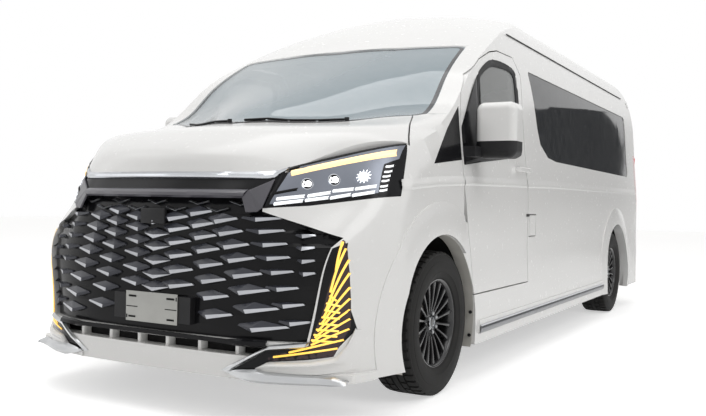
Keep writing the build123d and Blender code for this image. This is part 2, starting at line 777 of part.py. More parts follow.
# Steering wheel and its column
wheel_centre = (cab_seat_x, front_axle + 590.0, 1165.0)
column_tilt = 52.0
steering_radius = 195.0
steering_rim = 16.0
steering_plane = Plane(origin=wheel_centre, x_dir=(1, 0, 0),
                       z_dir=(0, math.cos(math.radians(column_tilt)), math.sin(math.radians(column_tilt))))
with BuildPart() as steering_wheel:
    with BuildSketch(steering_plane * Plane.XZ) as ring:
        with Locations((steering_radius - steering_rim, 0)):
            Circle(steering_rim)
    revolve(axis=Axis(steering_plane.origin, steering_plane.z_dir))
    with BuildSketch(steering_plane.offset(-30)):
        Circle(60)
    extrude(amount=36)
    for turn in (-20, 90, 200):
        angle = math.radians(turn)
        with BuildSketch(steering_plane.offset(-12)):
            with Locations(Location((0.5 * steering_radius * math.cos(angle), -0.5 * steering_radius * math.sin(angle)), -turn)):
                Rectangle(steering_radius - 30, 34)
        extrude(amount=16)
save(steering_wheel.part, "steering_wheel")
column_radius = 32.0
column_length = 180.0



# Dashboard
dash_half = half - wall - 40
dash_outline = [
    (bulkhead_y + fit, 880), (bulkhead_y + fit, 1250), (430, 1235), (540, 1150), (520, 1010), (400, 900),
]
with BuildPart() as dashboard:
    add(side_prism(dash_outline, -dash_half, dash_half, round_off=20))
    with BuildSketch(steering_plane.offset(-30 - fit)):
        Circle(column_radius)
    extrude(amount=-column_length)
save(dashboard.part, "dashboard")


# Wheels
def ring(x, y, radius, bore=0.0):
    """A disc or ring about a wheel's axis, y behind the front axle."""
    with BuildPart() as made:
        with BuildSketch(Plane.YZ.offset(min(x))):
            with Locations((front_axle + y, tyre_radius)):
                Circle(radius)
                if bore:
                    Circle(bore, mode=Mode.SUBTRACT)
        extrude(amount=abs(x[1] - x[0]))
    return made.part


def tyre(centre_x, y):
    """A tyre about its wheel's axis."""
    side = tyre_width / 2
    with BuildPart() as made:
        with BuildSketch(Plane.XY.offset(tyre_radius)):
            with Locations((centre_x, front_axle + y)):
                Polygon((-side + 25, rim_flange), (-side, (rim_flange + tyre_radius) / 2),
                        (-side + 22, tyre_radius - 12), (-side + 50, tyre_radius),
                        (side - 50, tyre_radius), (side - 22, tyre_radius - 12),
                        (side, (rim_flange + tyre_radius) / 2), (side - 25, rim_flange), align=None)
        revolve(axis=Axis((centre_x, front_axle + y, tyre_radius), (1, 0, 0)))
    return made.part


def rim(centre_x, y, sign):
    """A spoked rim with its hub and brake disc, its face towards sign."""
    face = centre_x + sign * rim_width / 2
    back = centre_x - sign * rim_width / 2
    spoke_face = face - sign * spoke_inset
    spoke_back = spoke_face - sign * spoke_depth
    with BuildPart() as made:
        add(ring((face, back), y, rim_flange - fit, rim_flange - barrel))
        add(ring((spoke_face, centre_x - sign * disc_offset), y, hub_radius))
        with BuildSketch(Plane.YZ.offset(min(spoke_face, spoke_back))):
            with Locations((front_axle + y, tyre_radius)):
                with PolarLocations((hub_radius + rim_flange - barrel) / 2, spoke_count):
                    Rectangle(rim_flange - barrel - hub_radius + 12, spoke_width)
        extrude(amount=spoke_depth)
        add(ring((centre_x - sign * disc_offset, centre_x - sign * (disc_offset + disc_thickness)), y,
                 disc_radius))
        add(ring((back, spoke_back), y, stub_radius + fit), mode=Mode.SUBTRACT)
    return made.part


for side, sign in sides.items():
    for place, y in (("front", 0.0), ("rear", rear_y)):
        save(tyre(sign * wheel_x, y), f"tyre_{place}_{side}")
        save(rim(sign * wheel_x, y, sign), f"rim_{place}_{side}")

# Knuckles, which turn about a leaning axis, and the arms and struts that hold them
stub_end = wheel_x + rim_width / 2 - spoke_inset - spoke_depth - stub_gap
lean = math.tan(math.radians(steer_lean))
axis_direction = Vector(-lean, 0, 1).normalized()
lower_ball = (steer_x + knuckle_drop * lean, tyre_radius - knuckle_drop)
with BuildPart() as left_knuckle:
    add(ring((steer_x - 10, stub_end), 0, stub_radius))
    add(ring((steer_x - 10, steer_x + 18), 0, carrier_radius))
    with BuildSketch(Plane(origin=(lower_ball[0], front_axle, lower_ball[1]), z_dir=axis_direction)):
        Circle(upright_radius)
    extrude(amount=2 * knuckle_drop + 20)
    add(block((steer_x - 60, steer_x - 35), (0, 150), (tyre_radius - 30, tyre_radius - 10)))
    add(block((steer_x - 60, steer_x), (-20, 30), (tyre_radius - 40, tyre_radius)))
strut_start = axis_direction * (2 * knuckle_drop + 20 + fit)
knuckle_foot = Vector(lower_ball[0], front_axle, lower_ball[1])
strut_origin = knuckle_foot + strut_start
with BuildPart() as left_arm:
    with BuildSketch(Plane(origin=strut_origin, z_dir=axis_direction)):
        Circle(strut_radius)
    extrude(amount=front_lining_radius)
    add(drum((0, width), lining_centre, tyre_radius, front_lining_radius - fit), mode=Mode.INTERSECT)
    arm_levels = (lower_ball[1] - 30, lower_ball[1] - 14)
    add(block((rail_spacing / 2 - 20, lower_ball[0] - 90), (-45, 45), arm_levels))
    add(block((lower_ball[0] - 90, lower_ball[0] + 8), (-12, 12), arm_levels))
    with BuildSketch(Plane(origin=knuckle_foot - axis_direction * 20, z_dir=axis_direction)):
        Circle(ball_radius)
    extrude(amount=20 - fit)
with BuildPart() as front_suspension:
    add(left_arm.part)
    add(mirrored(left_arm.part))
    add(block((-rail_spacing / 2 - 35, rail_spacing / 2 + 35), (-60, 60),
              (lower_ball[1] - 30, lower_ball[1] + 50)))
    for sign in sides.values():
        centre = sign * rail_spacing / 2
        add(block((centre - 30, centre + 30), (-60, 60), (lower_ball[1] + 50, rail_top - rail_height)))
save(front_suspension.part, "front_suspension")
save_pair(left_knuckle.part, "knuckle")

# Rear axle, its springs, the propeller shaft, exhaust and fuel tank
with BuildPart() as rear_axle_beam:
    add(ring((-wheel_x + disc_offset + disc_thickness + brake_gap,
              wheel_x - disc_offset - disc_thickness - brake_gap), rear_y, axle_tube_radius))
    add(ring((-stub_end, stub_end), rear_y, stub_radius))
    add(ring((-110, 110), rear_y, 125))
save(rear_axle_beam.part, "rear_axle")
spring_x = rail_spacing / 2 + rail_width / 2 + 60
spring_low = tyre_radius - axle_tube_radius
spring_end = rail_top - rail_height - 60
spring_half = 640.0
spring_leaf = 26.0
with BuildPart() as leaf_springs:
    for sign in sides.values():
        with BuildSketch(Plane.YZ.offset(sign * spring_x - 30)):
            with BuildLine():
                ThreePointArc((rear_axle - spring_half, spring_end), (rear_axle, spring_low),
                              (rear_axle + spring_half, spring_end))
                Line((rear_axle + spring_half, spring_end), (rear_axle + spring_half, spring_end - spring_leaf))
                ThreePointArc((rear_axle + spring_half, spring_end - spring_leaf),
                              (rear_axle, spring_low - spring_leaf),
                              (rear_axle - spring_half, spring_end - spring_leaf))
                Line((rear_axle - spring_half, spring_end - spring_leaf), (rear_axle - spring_half, spring_end))
            make_face()
        extrude(amount=60)
        outside = sign * (spring_x + 30)
        inside = sign * (rail_spacing / 2 + rail_width / 2 + fit)
        for end in (rear_y - spring_half, rear_y + spring_half - 50):
            add(block((min(outside, inside), max(outside, inside)), (end, end + 50),
                      (spring_end - spring_leaf, rail_top - 30)))
save(leaf_springs.part, "leaf_springs")
with BuildPart() as propshaft:
    shaft_start = front_axle + 560 + fit
    shaft_end = rear_axle - 125 - fit
    with BuildSketch(Plane.XZ.offset(-shaft_start)):
        with Locations((0, tyre_radius + 20)):
            Circle(propshaft_radius)
    extrude(amount=-(shaft_end - shaft_start))
save(propshaft.part, "propshaft")
exhaust_x = -220.0
exhaust_z = rail_top - rail_height - exhaust_radius - fit
with BuildPart() as exhaust:
    with BuildLine() as run:
        FilletPolyline((exhaust_x, front_axle + 500, exhaust_z), (exhaust_x, rear_axle - 700, exhaust_z),
                       (-half + 120, rear_axle - 700, exhaust_z - 90), radius=120)
    with BuildSketch(Plane(origin=(exhaust_x, front_axle + 500, exhaust_z), z_dir=(0, 1, 0))):
        Circle(exhaust_radius)
    sweep(path=run.wires()[0])
    with BuildSketch(Plane.XZ.offset(-(front_axle + 1650))) as can:
        with Locations((exhaust_x, exhaust_z - 20)):
            Ellipse(120, 75)
    extrude(amount=-600)
save(exhaust.part, "exhaust")
with BuildPart() as fuel_tank:
    add(block((rail_spacing / 2 + rail_width / 2 + fit, 830), (1450, 2350), (270, rail_top - fit)))
    fillet(fuel_tank.edges().filter_by(Axis.Y), radius=40)
save(fuel_tank.part, "fuel_tank")

# Cowl between the bonnet and the screen, and the blank plate holder on the nose
cowl = panel(shell, block((-cowl_half, cowl_half), (-600, 100), (1200, fender_top)), [bonnet_hole, windscreen_hole])
save(cowl, "cowl")
with BuildPart() as plate_holder:
    add(block((-holder_half, holder_half), (nose_y, nose_y + 60), holder_heights))
    add(envelope(grille_depth - fit, grille_depth - fit), mode=Mode.SUBTRACT)
    with BuildSketch(Plane.XZ.offset(-nose)):
        with Locations((0, plate_height)):
            with GridLocations(plate_bolt_spacing, 0, 2, 1):
                Circle(plate_bolt_hole / 2)
    extrude(amount=-60, mode=Mode.SUBTRACT)
save(plate_holder.part, "plate_holder")
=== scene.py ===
# Dresses a high-roof passenger van: paint, glass, lamps, trim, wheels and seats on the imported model.
# Metres, except where a name or a comment says millimetres. +X is the van's left, +Y its rear, +Z up,
# and the ground is at z = 0.
import json
import math

import bmesh
import bpy
from mathutils import Matrix, Vector
from mathutils.bvhtree import BVHTree


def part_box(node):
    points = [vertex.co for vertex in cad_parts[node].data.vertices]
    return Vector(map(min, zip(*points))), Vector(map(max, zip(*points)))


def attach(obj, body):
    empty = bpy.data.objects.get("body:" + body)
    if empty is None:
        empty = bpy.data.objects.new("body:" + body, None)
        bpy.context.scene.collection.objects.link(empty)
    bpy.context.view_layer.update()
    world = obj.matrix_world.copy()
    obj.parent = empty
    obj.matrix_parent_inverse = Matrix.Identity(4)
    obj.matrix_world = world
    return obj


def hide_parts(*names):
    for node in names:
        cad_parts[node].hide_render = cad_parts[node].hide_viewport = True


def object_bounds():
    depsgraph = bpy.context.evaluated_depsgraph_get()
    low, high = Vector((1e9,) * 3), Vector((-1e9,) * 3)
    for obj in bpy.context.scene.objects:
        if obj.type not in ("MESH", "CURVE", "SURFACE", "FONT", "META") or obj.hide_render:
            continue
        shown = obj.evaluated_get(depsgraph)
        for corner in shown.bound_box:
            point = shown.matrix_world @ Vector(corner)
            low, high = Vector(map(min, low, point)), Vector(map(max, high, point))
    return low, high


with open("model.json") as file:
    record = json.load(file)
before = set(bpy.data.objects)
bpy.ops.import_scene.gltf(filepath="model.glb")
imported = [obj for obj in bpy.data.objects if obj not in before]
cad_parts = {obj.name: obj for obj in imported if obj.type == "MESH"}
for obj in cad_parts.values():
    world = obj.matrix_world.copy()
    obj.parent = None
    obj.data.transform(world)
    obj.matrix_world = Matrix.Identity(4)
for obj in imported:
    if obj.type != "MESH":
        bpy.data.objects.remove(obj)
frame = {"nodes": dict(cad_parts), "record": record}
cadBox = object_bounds()
nodes = frame["nodes"]
scene = bpy.context.scene
bpy.ops.object.select_all(action="DESELECT")
print("loaded", len(nodes), "nodes")


def middleOf(node):
    return Vector([(low + high) / 2 for low, high in zip(*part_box(node))])


wheelMiddle = middleOf("rim_front_left")
frontAxle, rearAxle = ((low.y + high.y) / 2 for low, high in map(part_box, ("rim_front_left", "rim_rear_left")))
noseEnd, tailEnd = cadBox[0].y, cadBox[1].y

# Camera

cameraSetup = {
    "place": (2.559, -5.6595, 0.942),
    "turn": 29.47,       # degrees to the left of straight back along the van
    "pitch": -0.07,
    "roll": 1.04,
    "lens": 41.72,
    "sensor": 36,
    "shift": (-0.0041, -0.0062),
}


def makeCamera(setup):
    turn, pitch, roll = (math.radians(setup[part]) for part in ("turn", "pitch", "roll"))
    forward = Vector((-math.sin(turn) * math.cos(pitch), math.cos(turn) * math.cos(pitch), math.sin(pitch)))
    level = Vector((math.cos(turn), math.sin(turn), 0))
    upward = level.cross(forward)
    right = level * math.cos(roll) + upward * math.sin(roll)
    top = upward * math.cos(roll) - level * math.sin(roll)
    bpy.ops.object.camera_add(location=setup["place"])
    camera = bpy.context.object
    camera.rotation_euler = Matrix((right, top, -forward)).transposed().to_euler()
    camera.data.sensor_width = setup["sensor"]
    camera.data.lens = setup["lens"]
    camera.data.shift_x, camera.data.shift_y = setup["shift"]
    camera.data.clip_start, camera.data.clip_end = 0.05, 200
    scene.camera = camera


makeCamera(cameraSetup)
print("camera")

# Materials


class Wire:
    # an output of a node, on which sums can be written
    def __init__(self, finish, socket):
        self.finish = finish
        self.socket = socket

    def sum(self, operation, *terms):
        return self.finish.node("ShaderNodeMath", {"operation": operation}, dict(enumerate(terms)))

    def __add__(self, other):
        return self.sum("ADD", self, other)

    def __radd__(self, other):
        return self.sum("ADD", other, self)

    def __mul__(self, other):
        return self.sum("MULTIPLY", self, other)

    def __rmul__(self, other):
        return self.sum("MULTIPLY", other, self)


labels = {
    "colour": "Base Color", "roughness": "Roughness", "metallic": "Metallic", "coat": "Coat Weight",
    "coatRoughness": "Coat Roughness", "alpha": "Alpha", "glow": "Emission Color",
    "glowStrength": "Emission Strength", "normal": "Normal", "ior": "IOR", "sheen": "Sheen Weight",
    "sheenRoughness": "Sheen Roughness", "specular": "Specular IOR Level",
}


class Finish:
    # the nodes of one material, or of the sky, being put together
    def __init__(self, owner, **fixed):
        if isinstance(owner, str):
            owner = bpy.data.materials.new(owner)
        owner.use_nodes = True
        self.owner = owner
        self.tree = owner.node_tree
        self.set(**fixed)

    def set(self, **values):
        for label, value in values.items():
            self.feed(self.tree.nodes["Principled BSDF"].inputs[labels[label]], value)

    def feed(self, socket, value):
        if isinstance(value, Wire):
            self.tree.links.new(value.socket, socket)
        elif hasattr(value, "__len__") and len(value) == 3 and len(socket.default_value) == 4:
            socket.default_value = (*value, 1)
        else:
            socket.default_value = value

    def node(self, kind, settings, values, output=0):
        made = self.tree.nodes.new(kind)
        for label, value in settings.items():
            if label == "stops":
                for element, (place, shade) in zip(made.color_ramp.elements, value):
                    element.position = place
                    element.color = (shade,) * 3 + (1,)
            else:
                setattr(made, label, value)
        for label, value in values.items():
            self.feed(made.inputs[label], value)
        return Wire(self, made.outputs[output])

    def place(self):
        return self.node("ShaderNodeTexCoord", {}, {}, "Object")

    def height(self):
        return self.node("ShaderNodeSeparateXYZ", {}, {"Vector": self.place()}, "Z")

    def noise(self, scale, detail=3.0, stretch=(1, 1, 1)):
        moved = self.node("ShaderNodeMapping", {}, {"Vector": self.place(), "Scale": stretch})
        return self.node("ShaderNodeTexNoise", {}, {"Vector": moved, "Scale": scale, "Detail": detail}, "Fac")

    def cells(self, scale):
        return self.node("ShaderNodeTexVoronoi", {}, {"Vector": self.place(), "Scale": scale}, "Distance")

    def wave(self, direction, scale):
        return self.node("ShaderNodeTexWave", {"bands_direction": direction},
                         {"Vector": self.place(), "Scale": scale})

    def ray(self, kind):
        return self.node("ShaderNodeLightPath", {}, {}, f"Is {kind} Ray")

    def ramp(self, fac, *stops):
        return self.node("ShaderNodeValToRGB", {"stops": stops}, {"Fac": fac})

    def blend(self, fac, first, second):
        return self.node("ShaderNodeMix", {"data_type": "RGBA"}, {0: fac, 6: first, 7: second}, 2)

    def bump(self, height, strength, distance):
        self.set(normal=self.node("ShaderNodeBump", {}, {"Strength": strength, "Distance": distance,
                                                         "Height": height}))
        return self.owner


def shaded(shade, share, more=0.0):
    return tuple(channel * share + more for channel in shade)


def makePaint(name):
    # pearl white: fine flakes under a clear coat, a little darker towards the bottom
    paint = Finish(name, coat=0.4, coatRoughness=0.10, ior=1.45)
    flake = paint.cells(2600)
    lowDarkening = paint.ramp(paint.height() + paint.noise(3) * 0.1, (0.0, 1), (0.5, 0))
    pearl = paint.blend(paint.ramp(flake, (0.1, 0), (0.8, 1)), (0.80, 0.795, 0.78), (0.87, 0.87, 0.865))
    paint.set(colour=paint.blend(lowDarkening * 0.12, pearl, (0.62, 0.60, 0.565)),
              roughness=0.24 + 0.05 * paint.noise(40))
    return paint.bump(paint.noise(60, 2), 0.004, 0.0002)


def makeGlass(name, tintAndPaintedSky, alpha, ior, coat=0.6):
    # the colour given is the glass's tint; for the windscreen it is a painted reflection of the sky
    glass = Finish(name, ior=ior, coat=coat, coatRoughness=0.02)
    dust = glass.noise(14, 6)
    glass.set(colour=glass.blend(dust * 0.15, tintAndPaintedSky, (0.5, 0.5, 0.48)), roughness=0.02 + 0.05 * dust,
              alpha=alpha + 0.05 * dust)
    return glass.owner


def makePlastic(name, shade, roughness, grain, coat=0.0, specular=0.5):
    plastic = Finish(name, coat=coat, coatRoughness=0.04, specular=specular)
    mottle = plastic.noise(9, 4)
    plastic.set(colour=plastic.blend(mottle, shade, shaded(shade, 1.5, 0.008)),
                roughness=roughness + 0.12 * mottle)
    return plastic.bump(plastic.cells(grain), 0.12 if coat else 0.35, 0.0003)


def makeMetal(name, shade, roughness, metallic=1.0, streak=(1, 1, 12)):
    metal = Finish(name, metallic=metallic)
    brush = metal.noise(160, 2, streak)
    stain = metal.noise(7, 5)
    metal.set(colour=metal.blend(stain, shade, shaded(shade, 0.72)),
              roughness=roughness + 0.10 * brush + 0.06 * stain)
    return metal.bump(brush, 0.05, 0.0002)


def makeLight(name, shade, strength):
    lamp = Finish(name, glowStrength=strength, coat=0.5)
    ripple = lamp.noise(90, 2)
    lamp.set(colour=shade, glow=lamp.blend(ripple * 0.4, shade, shaded(shade, 0.75)),
             roughness=0.25 + 0.1 * ripple)
    return lamp.owner


def makeRubber(name):
    rubber = Finish(name, specular=0.2)
    dust = rubber.noise(24, 6)
    rubber.set(colour=rubber.blend(dust, (0.010, 0.010, 0.011), (0.030, 0.029, 0.027)),
               roughness=0.55 + 0.25 * dust)
    return rubber.bump(rubber.noise(420, 3), 0.25, 0.0004)


def makeCloth(name, warp, weft, pitch):
    # plain weave on the piece's own place
    cloth = Finish(name, sheen=0.35, sheenRoughness=0.5)
    weave = cloth.wave("X", pitch) * cloth.wave("Z", pitch)
    fade = cloth.noise(5, 4)
    cloth.set(colour=cloth.blend(weave, warp, cloth.blend(fade, weft, warp)), roughness=0.8 + 0.15 * fade)
    return cloth.bump(weave + 0.4 * cloth.noise(300), 0.5, 0.0006)


finishes = {"paint": makePaint("pearlPaint"), "rubber": makeRubber("tyreRubber")}
finishRows = {
    # tint (the windscreen's pale blue is a painted sky reflection), opacity, refraction, clear coat
    makeGlass: (
        ("sideGlass", (0.012, 0.015, 0.020), 0.86, 1.45, 0.1),
        # the windscreen's pale blue colour, mostly opaque, is a painted reflection of the sky
        ("doorGlass", (0.07, 0.085, 0.08), 0.45, 1.9, 1.0), ("screenGlass", (0.36, 0.45, 0.50), 0.62, 1.75)),
    # shade, roughness, grain, clear coat, shine
    makePlastic: (
        ("glossBlack", (0.004, 0.004, 0.005), 0.12, 700, 0.06, 0.12),
        ("trimBlack", (0.010, 0.010, 0.011), 0.42, 900, 0.0, 0.25),
        ("linerBlack", (0.008, 0.008, 0.008), 0.8, 240, 0.0, 0.15),
        ("cabinPlastic", (0.055, 0.052, 0.050), 0.55, 600), ("headlining", (0.42, 0.40, 0.37), 0.85, 420),
        # the arch flange is white body paint; its grey colour is painted shade
        ("flangeGrey", (0.42, 0.41, 0.38), 0.45, 600),
        ("bladeDark", (0.034, 0.036, 0.046), 0.20, 800, 0.1, 0.3),
        ("frameDark", (0.050, 0.048, 0.058), 0.26, 800, 0.4, 0.5),
        ("rimBlack", (0.008, 0.008, 0.009), 0.16, 800, 0.4, 0.4),
        ("chassisPaint", (0.018, 0.018, 0.019), 0.5, 160),
        ("maroonLens", (0.020, 0.004, 0.005), 0.12, 800, 0.4, 0.3),
        ("fritBlack", (0.018, 0.019, 0.022), 0.18, 900, 0.4, 0.4),
        ("redLens", (0.35, 0.012, 0.012), 0.12, 300, 1.0),
        ("amberLens", (0.62, 0.22, 0.02), 0.15, 300, 1.0), ("clearLens", (0.62, 0.62, 0.60), 0.12, 300, 1.0)),
    # shade, roughness, how metallic, direction of the brushing
    makeMetal: (
        ("chrome", (0.62, 0.64, 0.67), 0.08), ("satinSilver", (0.60, 0.61, 0.62), 0.22),
        ("darkChrome", (0.24, 0.245, 0.26), 0.2), ("bladeEdge", (0.50, 0.51, 0.54), 0.24),
        ("plateGrey", (0.42, 0.42, 0.40), 0.35, 0.7, (14, 1, 1)),
        ("castIron", (0.20, 0.185, 0.17), 0.45, 0.8, (1, 1, 1)),
        ("lampGrey", (0.20, 0.215, 0.25), 0.25, 0.8, (1, 1, 1))),
    # shade, strength
    makeLight: (
        ("whiteLight", (0.95, 0.97, 1.0), 3.0), ("whiteBar", (0.86, 0.88, 0.90), 0.7),
        ("amberLight", (1.0, 0.72, 0.36), 0.95), ("goldLight", (1.0, 0.62, 0.10), 0.9),
        ("redLight", (0.62, 0.02, 0.02), 0.35)),
    # warp, weft, threads
    makeCloth: (
        ("seatCloth", (0.115, 0.108, 0.100), (0.20, 0.19, 0.175), 260),
        ("carpet", (0.055, 0.052, 0.050), (0.085, 0.08, 0.076), 340)),
}
for make, rows in finishRows.items():
    for name, *values in rows:
        finishes[name] = make(name, *values)
print("materials", len(finishes))

# Modelling steps used by every piece


def only(*pieces):
    if bpy.context.object and bpy.context.object.mode != "OBJECT":
        bpy.ops.object.mode_set(mode="OBJECT")
    bpy.ops.object.select_all(action="DESELECT")
    for piece in pieces:
        piece.select_set(True)
    bpy.context.view_layer.objects.active = pieces[-1]


def edit(piece):
    only(piece)
    bpy.ops.object.mode_set(mode="EDIT")
    bpy.ops.mesh.select_mode(type="FACE")
    bpy.ops.mesh.select_all(action="SELECT")


def done(piece):
    only(piece)
    bpy.ops.object.transform_apply(location=True, rotation=True, scale=True)
    return piece


def smooth(piece, degrees=30):
    only(piece)
    bpy.ops.object.shade_smooth_by_angle(angle=math.radians(degrees))
    return piece


def paintOver(piece, finish):
    piece.data.materials.clear()
    piece.data.materials.append(finishes[finish])
    return piece


def called(piece, name):
    piece.name = piece.data.name = name
    return piece


def mergedCopy(node, name):
    # a CAD node's own shape with its corners joined, so that its curves shade smoothly
    piece = nodes[node].copy()
    piece.data = nodes[node].data.copy()
    called(piece, name)
    for label in [key for key in piece.keys() if key.startswith("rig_")]:
        del piece[label]
    piece.parent = None
    scene.collection.objects.link(piece)
    edit(piece)
    bpy.ops.mesh.customdata_custom_splitnormals_clear()
    bpy.ops.mesh.remove_doubles(threshold=0.00002)
    return smooth(done(piece))


def rides(piece, body, slot, *replaced):
    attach(piece, body)
    for node in replaced:
        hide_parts(node)
    return piece


bodyOf = {node: body for body, members in frame["record"]["behaviour"]["bodies"].items() for node in members}
slotOf = {part["node"]: part["material_slot"] for part in frame["record"]["subparts"]}


def stands(piece, node):
    # in place of a CAD node, on its body
    return rides(piece, bodyOf[node], slotOf[node], node)


# Painted panels, glass and plain running gear

panelFinish = {
    "paint": "body_side_left body_side_right bonnet door_left door_right front_bumper front_fenders fuel_lid "
             "rear_bumper rear_door_left rear_door_right roof sliding_door mirror_left mirror_right",
    "trimBlack": "cowl plate_holder", "glossBlack": "quarter_panels nose_bar front_lamps",
    "sideGlass": "side_glass rear_glass_left rear_glass_right",
    "doorGlass": "door_glass_left door_glass_right", "screenGlass": "windscreen", "redLens": "tail_lamps",
    "linerBlack": "wheel_housings", "cabinPlastic": "dashboard steering_wheel",
}
for finish, members in panelFinish.items():
    for node in members.split():
        stands(paintOver(mergedCopy(node, node + "_smooth"), finish), node)

nodeFinish = {
    "chassisPaint": "chassis_rails floor_pan front_suspension leaf_springs propshaft rear_axle seat_frames",
    "castIron": "engine exhaust knuckle_left knuckle_right", "linerBlack": "fuel_tank",
}
for finish, members in nodeFinish.items():
    for node in members.split():
        paintOver(nodes[node], finish)
print("panels")

# Shapes that the pieces start from


def named(name, finish=None):
    piece = called(bpy.context.object, name)
    return paintOver(piece, finish) if finish else piece


def outlined(name, points, finish=None, filled=True):
    # a flat shape: a circle with one corner for each point, each corner then moved to its point
    bpy.ops.mesh.primitive_circle_add(vertices=len(points), fill_type="NGON" if filled else "NOTHING",
                                      location=(0, 0, 0))
    piece = named(name, finish)
    for vertex, point in zip(piece.data.vertices, points):
        vertex.co = point
    return piece


def blockAt(name, low, high, finish=None):
    low, high = Vector(low), Vector(high)
    bpy.ops.mesh.primitive_cube_add(size=1, location=(low + high) / 2)
    piece = named(name, finish)
    piece.scale = high - low
    return done(piece)


def barAt(name, start, end, radius, sides, finish=None):
    bpy.ops.mesh.primitive_cylinder_add(vertices=sides, radius=radius, depth=(end - start).length,
                                        location=(start + end) / 2)
    piece = named(name, finish)
    piece.rotation_euler = (end - start).to_track_quat("Z", "Y").to_euler()
    return done(piece)


def pick(piece, test):
    # edit mode with the faces whose middle and normal pass the test
    edit(piece)
    bpy.ops.mesh.select_all(action="DESELECT")
    shape = bmesh.from_edit_mesh(piece.data)
    for face in shape.faces:
        if test(face.calc_center_median(), face.normal):
            face.select_set(True)
    bmesh.update_edit_mesh(piece.data)


def turnOut(piece):
    # joined at its seams, with every face pointing outwards
    edit(piece)
    bpy.ops.mesh.remove_doubles(threshold=0.00001)
    bpy.ops.mesh.normals_make_consistent(inside=False)
    return done(piece)


def spun(name, profile, middle, steps, finish=None):
    # a closed profile of places across and out from middle, turned once round the axle
    points = [middle + Vector((across, 0, out)) for across, out in profile]
    piece = outlined(name, points, finish, filled=False)
    edit(piece)
    bpy.ops.mesh.select_mode(type="VERT")
    bpy.ops.mesh.select_all(action="SELECT")
    bpy.ops.mesh.spin(steps=steps, angle=2 * math.pi, center=middle, axis=(1, 0, 0))
    return turnOut(piece)


def modify(piece, kind, **values):
    only(piece)
    bpy.ops.object.modifier_add(type=kind)
    change = piece.modifiers[-1]
    for label, value in values.items():
        setattr(change, label, value)
    bpy.ops.object.modifier_apply(modifier=change.name)
    return piece


def rounded(piece, width, segments=2, degrees=30):
    return modify(piece, "BEVEL", width=width, segments=segments, limit_method="ANGLE",
                  angle_limit=math.radians(degrees))


def copied(piece, change, name=None):
    only(piece)
    bpy.ops.object.duplicate(linked=False)
    other = bpy.context.object
    other.data.transform(change)
    if change.determinant() < 0:
        other.data.flip_normals()
    return called(other, name) if name else other


def joined(name, pieces):
    only(*pieces)
    if len(pieces) > 1:
        bpy.ops.object.join()
    return called(bpy.context.object, name)


acrossVan = Matrix.Scale(-1, 4, Vector((1, 0, 0)))


def ringCopies(piece, count, middle):
    made = [piece]
    for turn in range(1, count):
        around = Matrix.Translation(middle) @ Matrix.Rotation(2 * math.pi * turn / count, 4, "X")
        made.append(copied(piece, around @ Matrix.Translation(-middle)))
    return made


def pair(name, piece, slot):
    # the piece and its mirror image as one, fixed to the body shell
    return rides(joined(name, [copied(piece, acrossVan), piece]), "root", slot)


def perSide(name, piece, slot, body):
    # the piece on the left door and its mirror image on the right one
    rides(copied(piece, acrossVan, name + "Right"), body + "_right", slot)
    return rides(called(piece, name + "Left"), body + "_left", slot)


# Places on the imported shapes, found by rays. They take and move by millimetres, with y behind the front
# axle, and give a place in metres.


def treeOf(*members):
    corners, faces = [], []
    for node in members:
        shape = nodes[node]
        first = len(corners)
        corners += [shape.matrix_world @ vertex.co for vertex in shape.data.vertices]
        faces += [[first + index for index in face.vertices] for face in shape.data.polygons]
    return BVHTree.FromPolygons(corners, faces)


grilleTree = treeOf("grille")
noseTree = treeOf("bonnet", "front_bumper", "front_lamps", "nose_bar", "front_fenders", "cowl")
flankTree = treeOf("body_side_left", "door_left", "door_glass_left", "front_fenders", "side_glass",
                   "quarter_panels", "rear_door_left", "front_bumper")
tailTree = treeOf("rear_door_left", "rear_door_right", "tail_lamps", "rear_bumper", "body_side_left", "roof",
                  "rear_glass_left", "rear_glass_right")
screenTree, roofTree = treeOf("windscreen"), treeOf("roof")
reaches = {
    "grilleSet": 30,      # how far the grille's plate lies behind the bumper's surface
    "noseSpare": 0.0012, "lowSpare": 0.009,      # metres left before the van's front end
    "nearby": (8, 16, 26, 40, 60, 90), "barHalf": 14, "lip": (14, 16), "doorSide": 90,
    "tail": (0, 12, -12, 30, -30, 60, -60, 100, -100),
}


def at(x, y, z):
    return Vector((x / 1000, frontAxle + y / 1000, z / 1000))


def onNose(x, z, lift, tree):
    # the point of the nose, moved forwards by lift
    hit = tree.ray_cast(Vector((x / 1000, noseEnd - 1, z / 1000)), Vector((0, 1, 0)))[0]
    return hit - Vector((0, lift / 1000, 0)) if hit else None


def onFlank(y, z, lift):
    # the point of the left flank, moved outwards by lift
    hit = flankTree.ray_cast(Vector((3, frontAxle + y / 1000, z / 1000)), Vector((-1, 0, 0)))[0]
    return hit + Vector((lift / 1000, 0, 0)) if hit else None


def nearBy(find, first, second, *rest):
    # what is found at the nearest place where the ray meets something
    for reach in reaches["nearby"]:
        for across, up in ((0, 1), (0, -1), (1, 0), (-1, 0)):
            place = find(first + across * reach, second + up * reach, *rest)
            if place:
                return place


def platePoint(x, z, lift):
    # the plate that carries the grille's bars, past the bars themselves
    found = [onNose(x, z + step, lift, grilleTree) for step in (-reaches["barHalf"], 0, reaches["barHalf"])]
    found = [place.y for place in found if place]
    return Vector((x / 1000, max(found), z / 1000)) if found else None


def nosePoint(x, z, lift, tree=noseTree):
    place = (onNose(x, z, lift, tree) or platePoint(x, z, lift + reaches["grilleSet"])
             or nearBy(onNose, x, z, lift, tree))
    return Vector((x / 1000, max(place.y, noseEnd + reaches["noseSpare"]), z / 1000))


def grillePoint(x, z, lift):
    return platePoint(x, z, lift) or nosePoint(x, z, lift, grilleTree)


def lowPoint(x, z, lift):
    # a nose point for thick strips, which also end inside the van's length
    place = nosePoint(x, z, lift)
    return Vector((place.x, max(place.y, noseEnd + reaches["lowSpare"]), place.z))


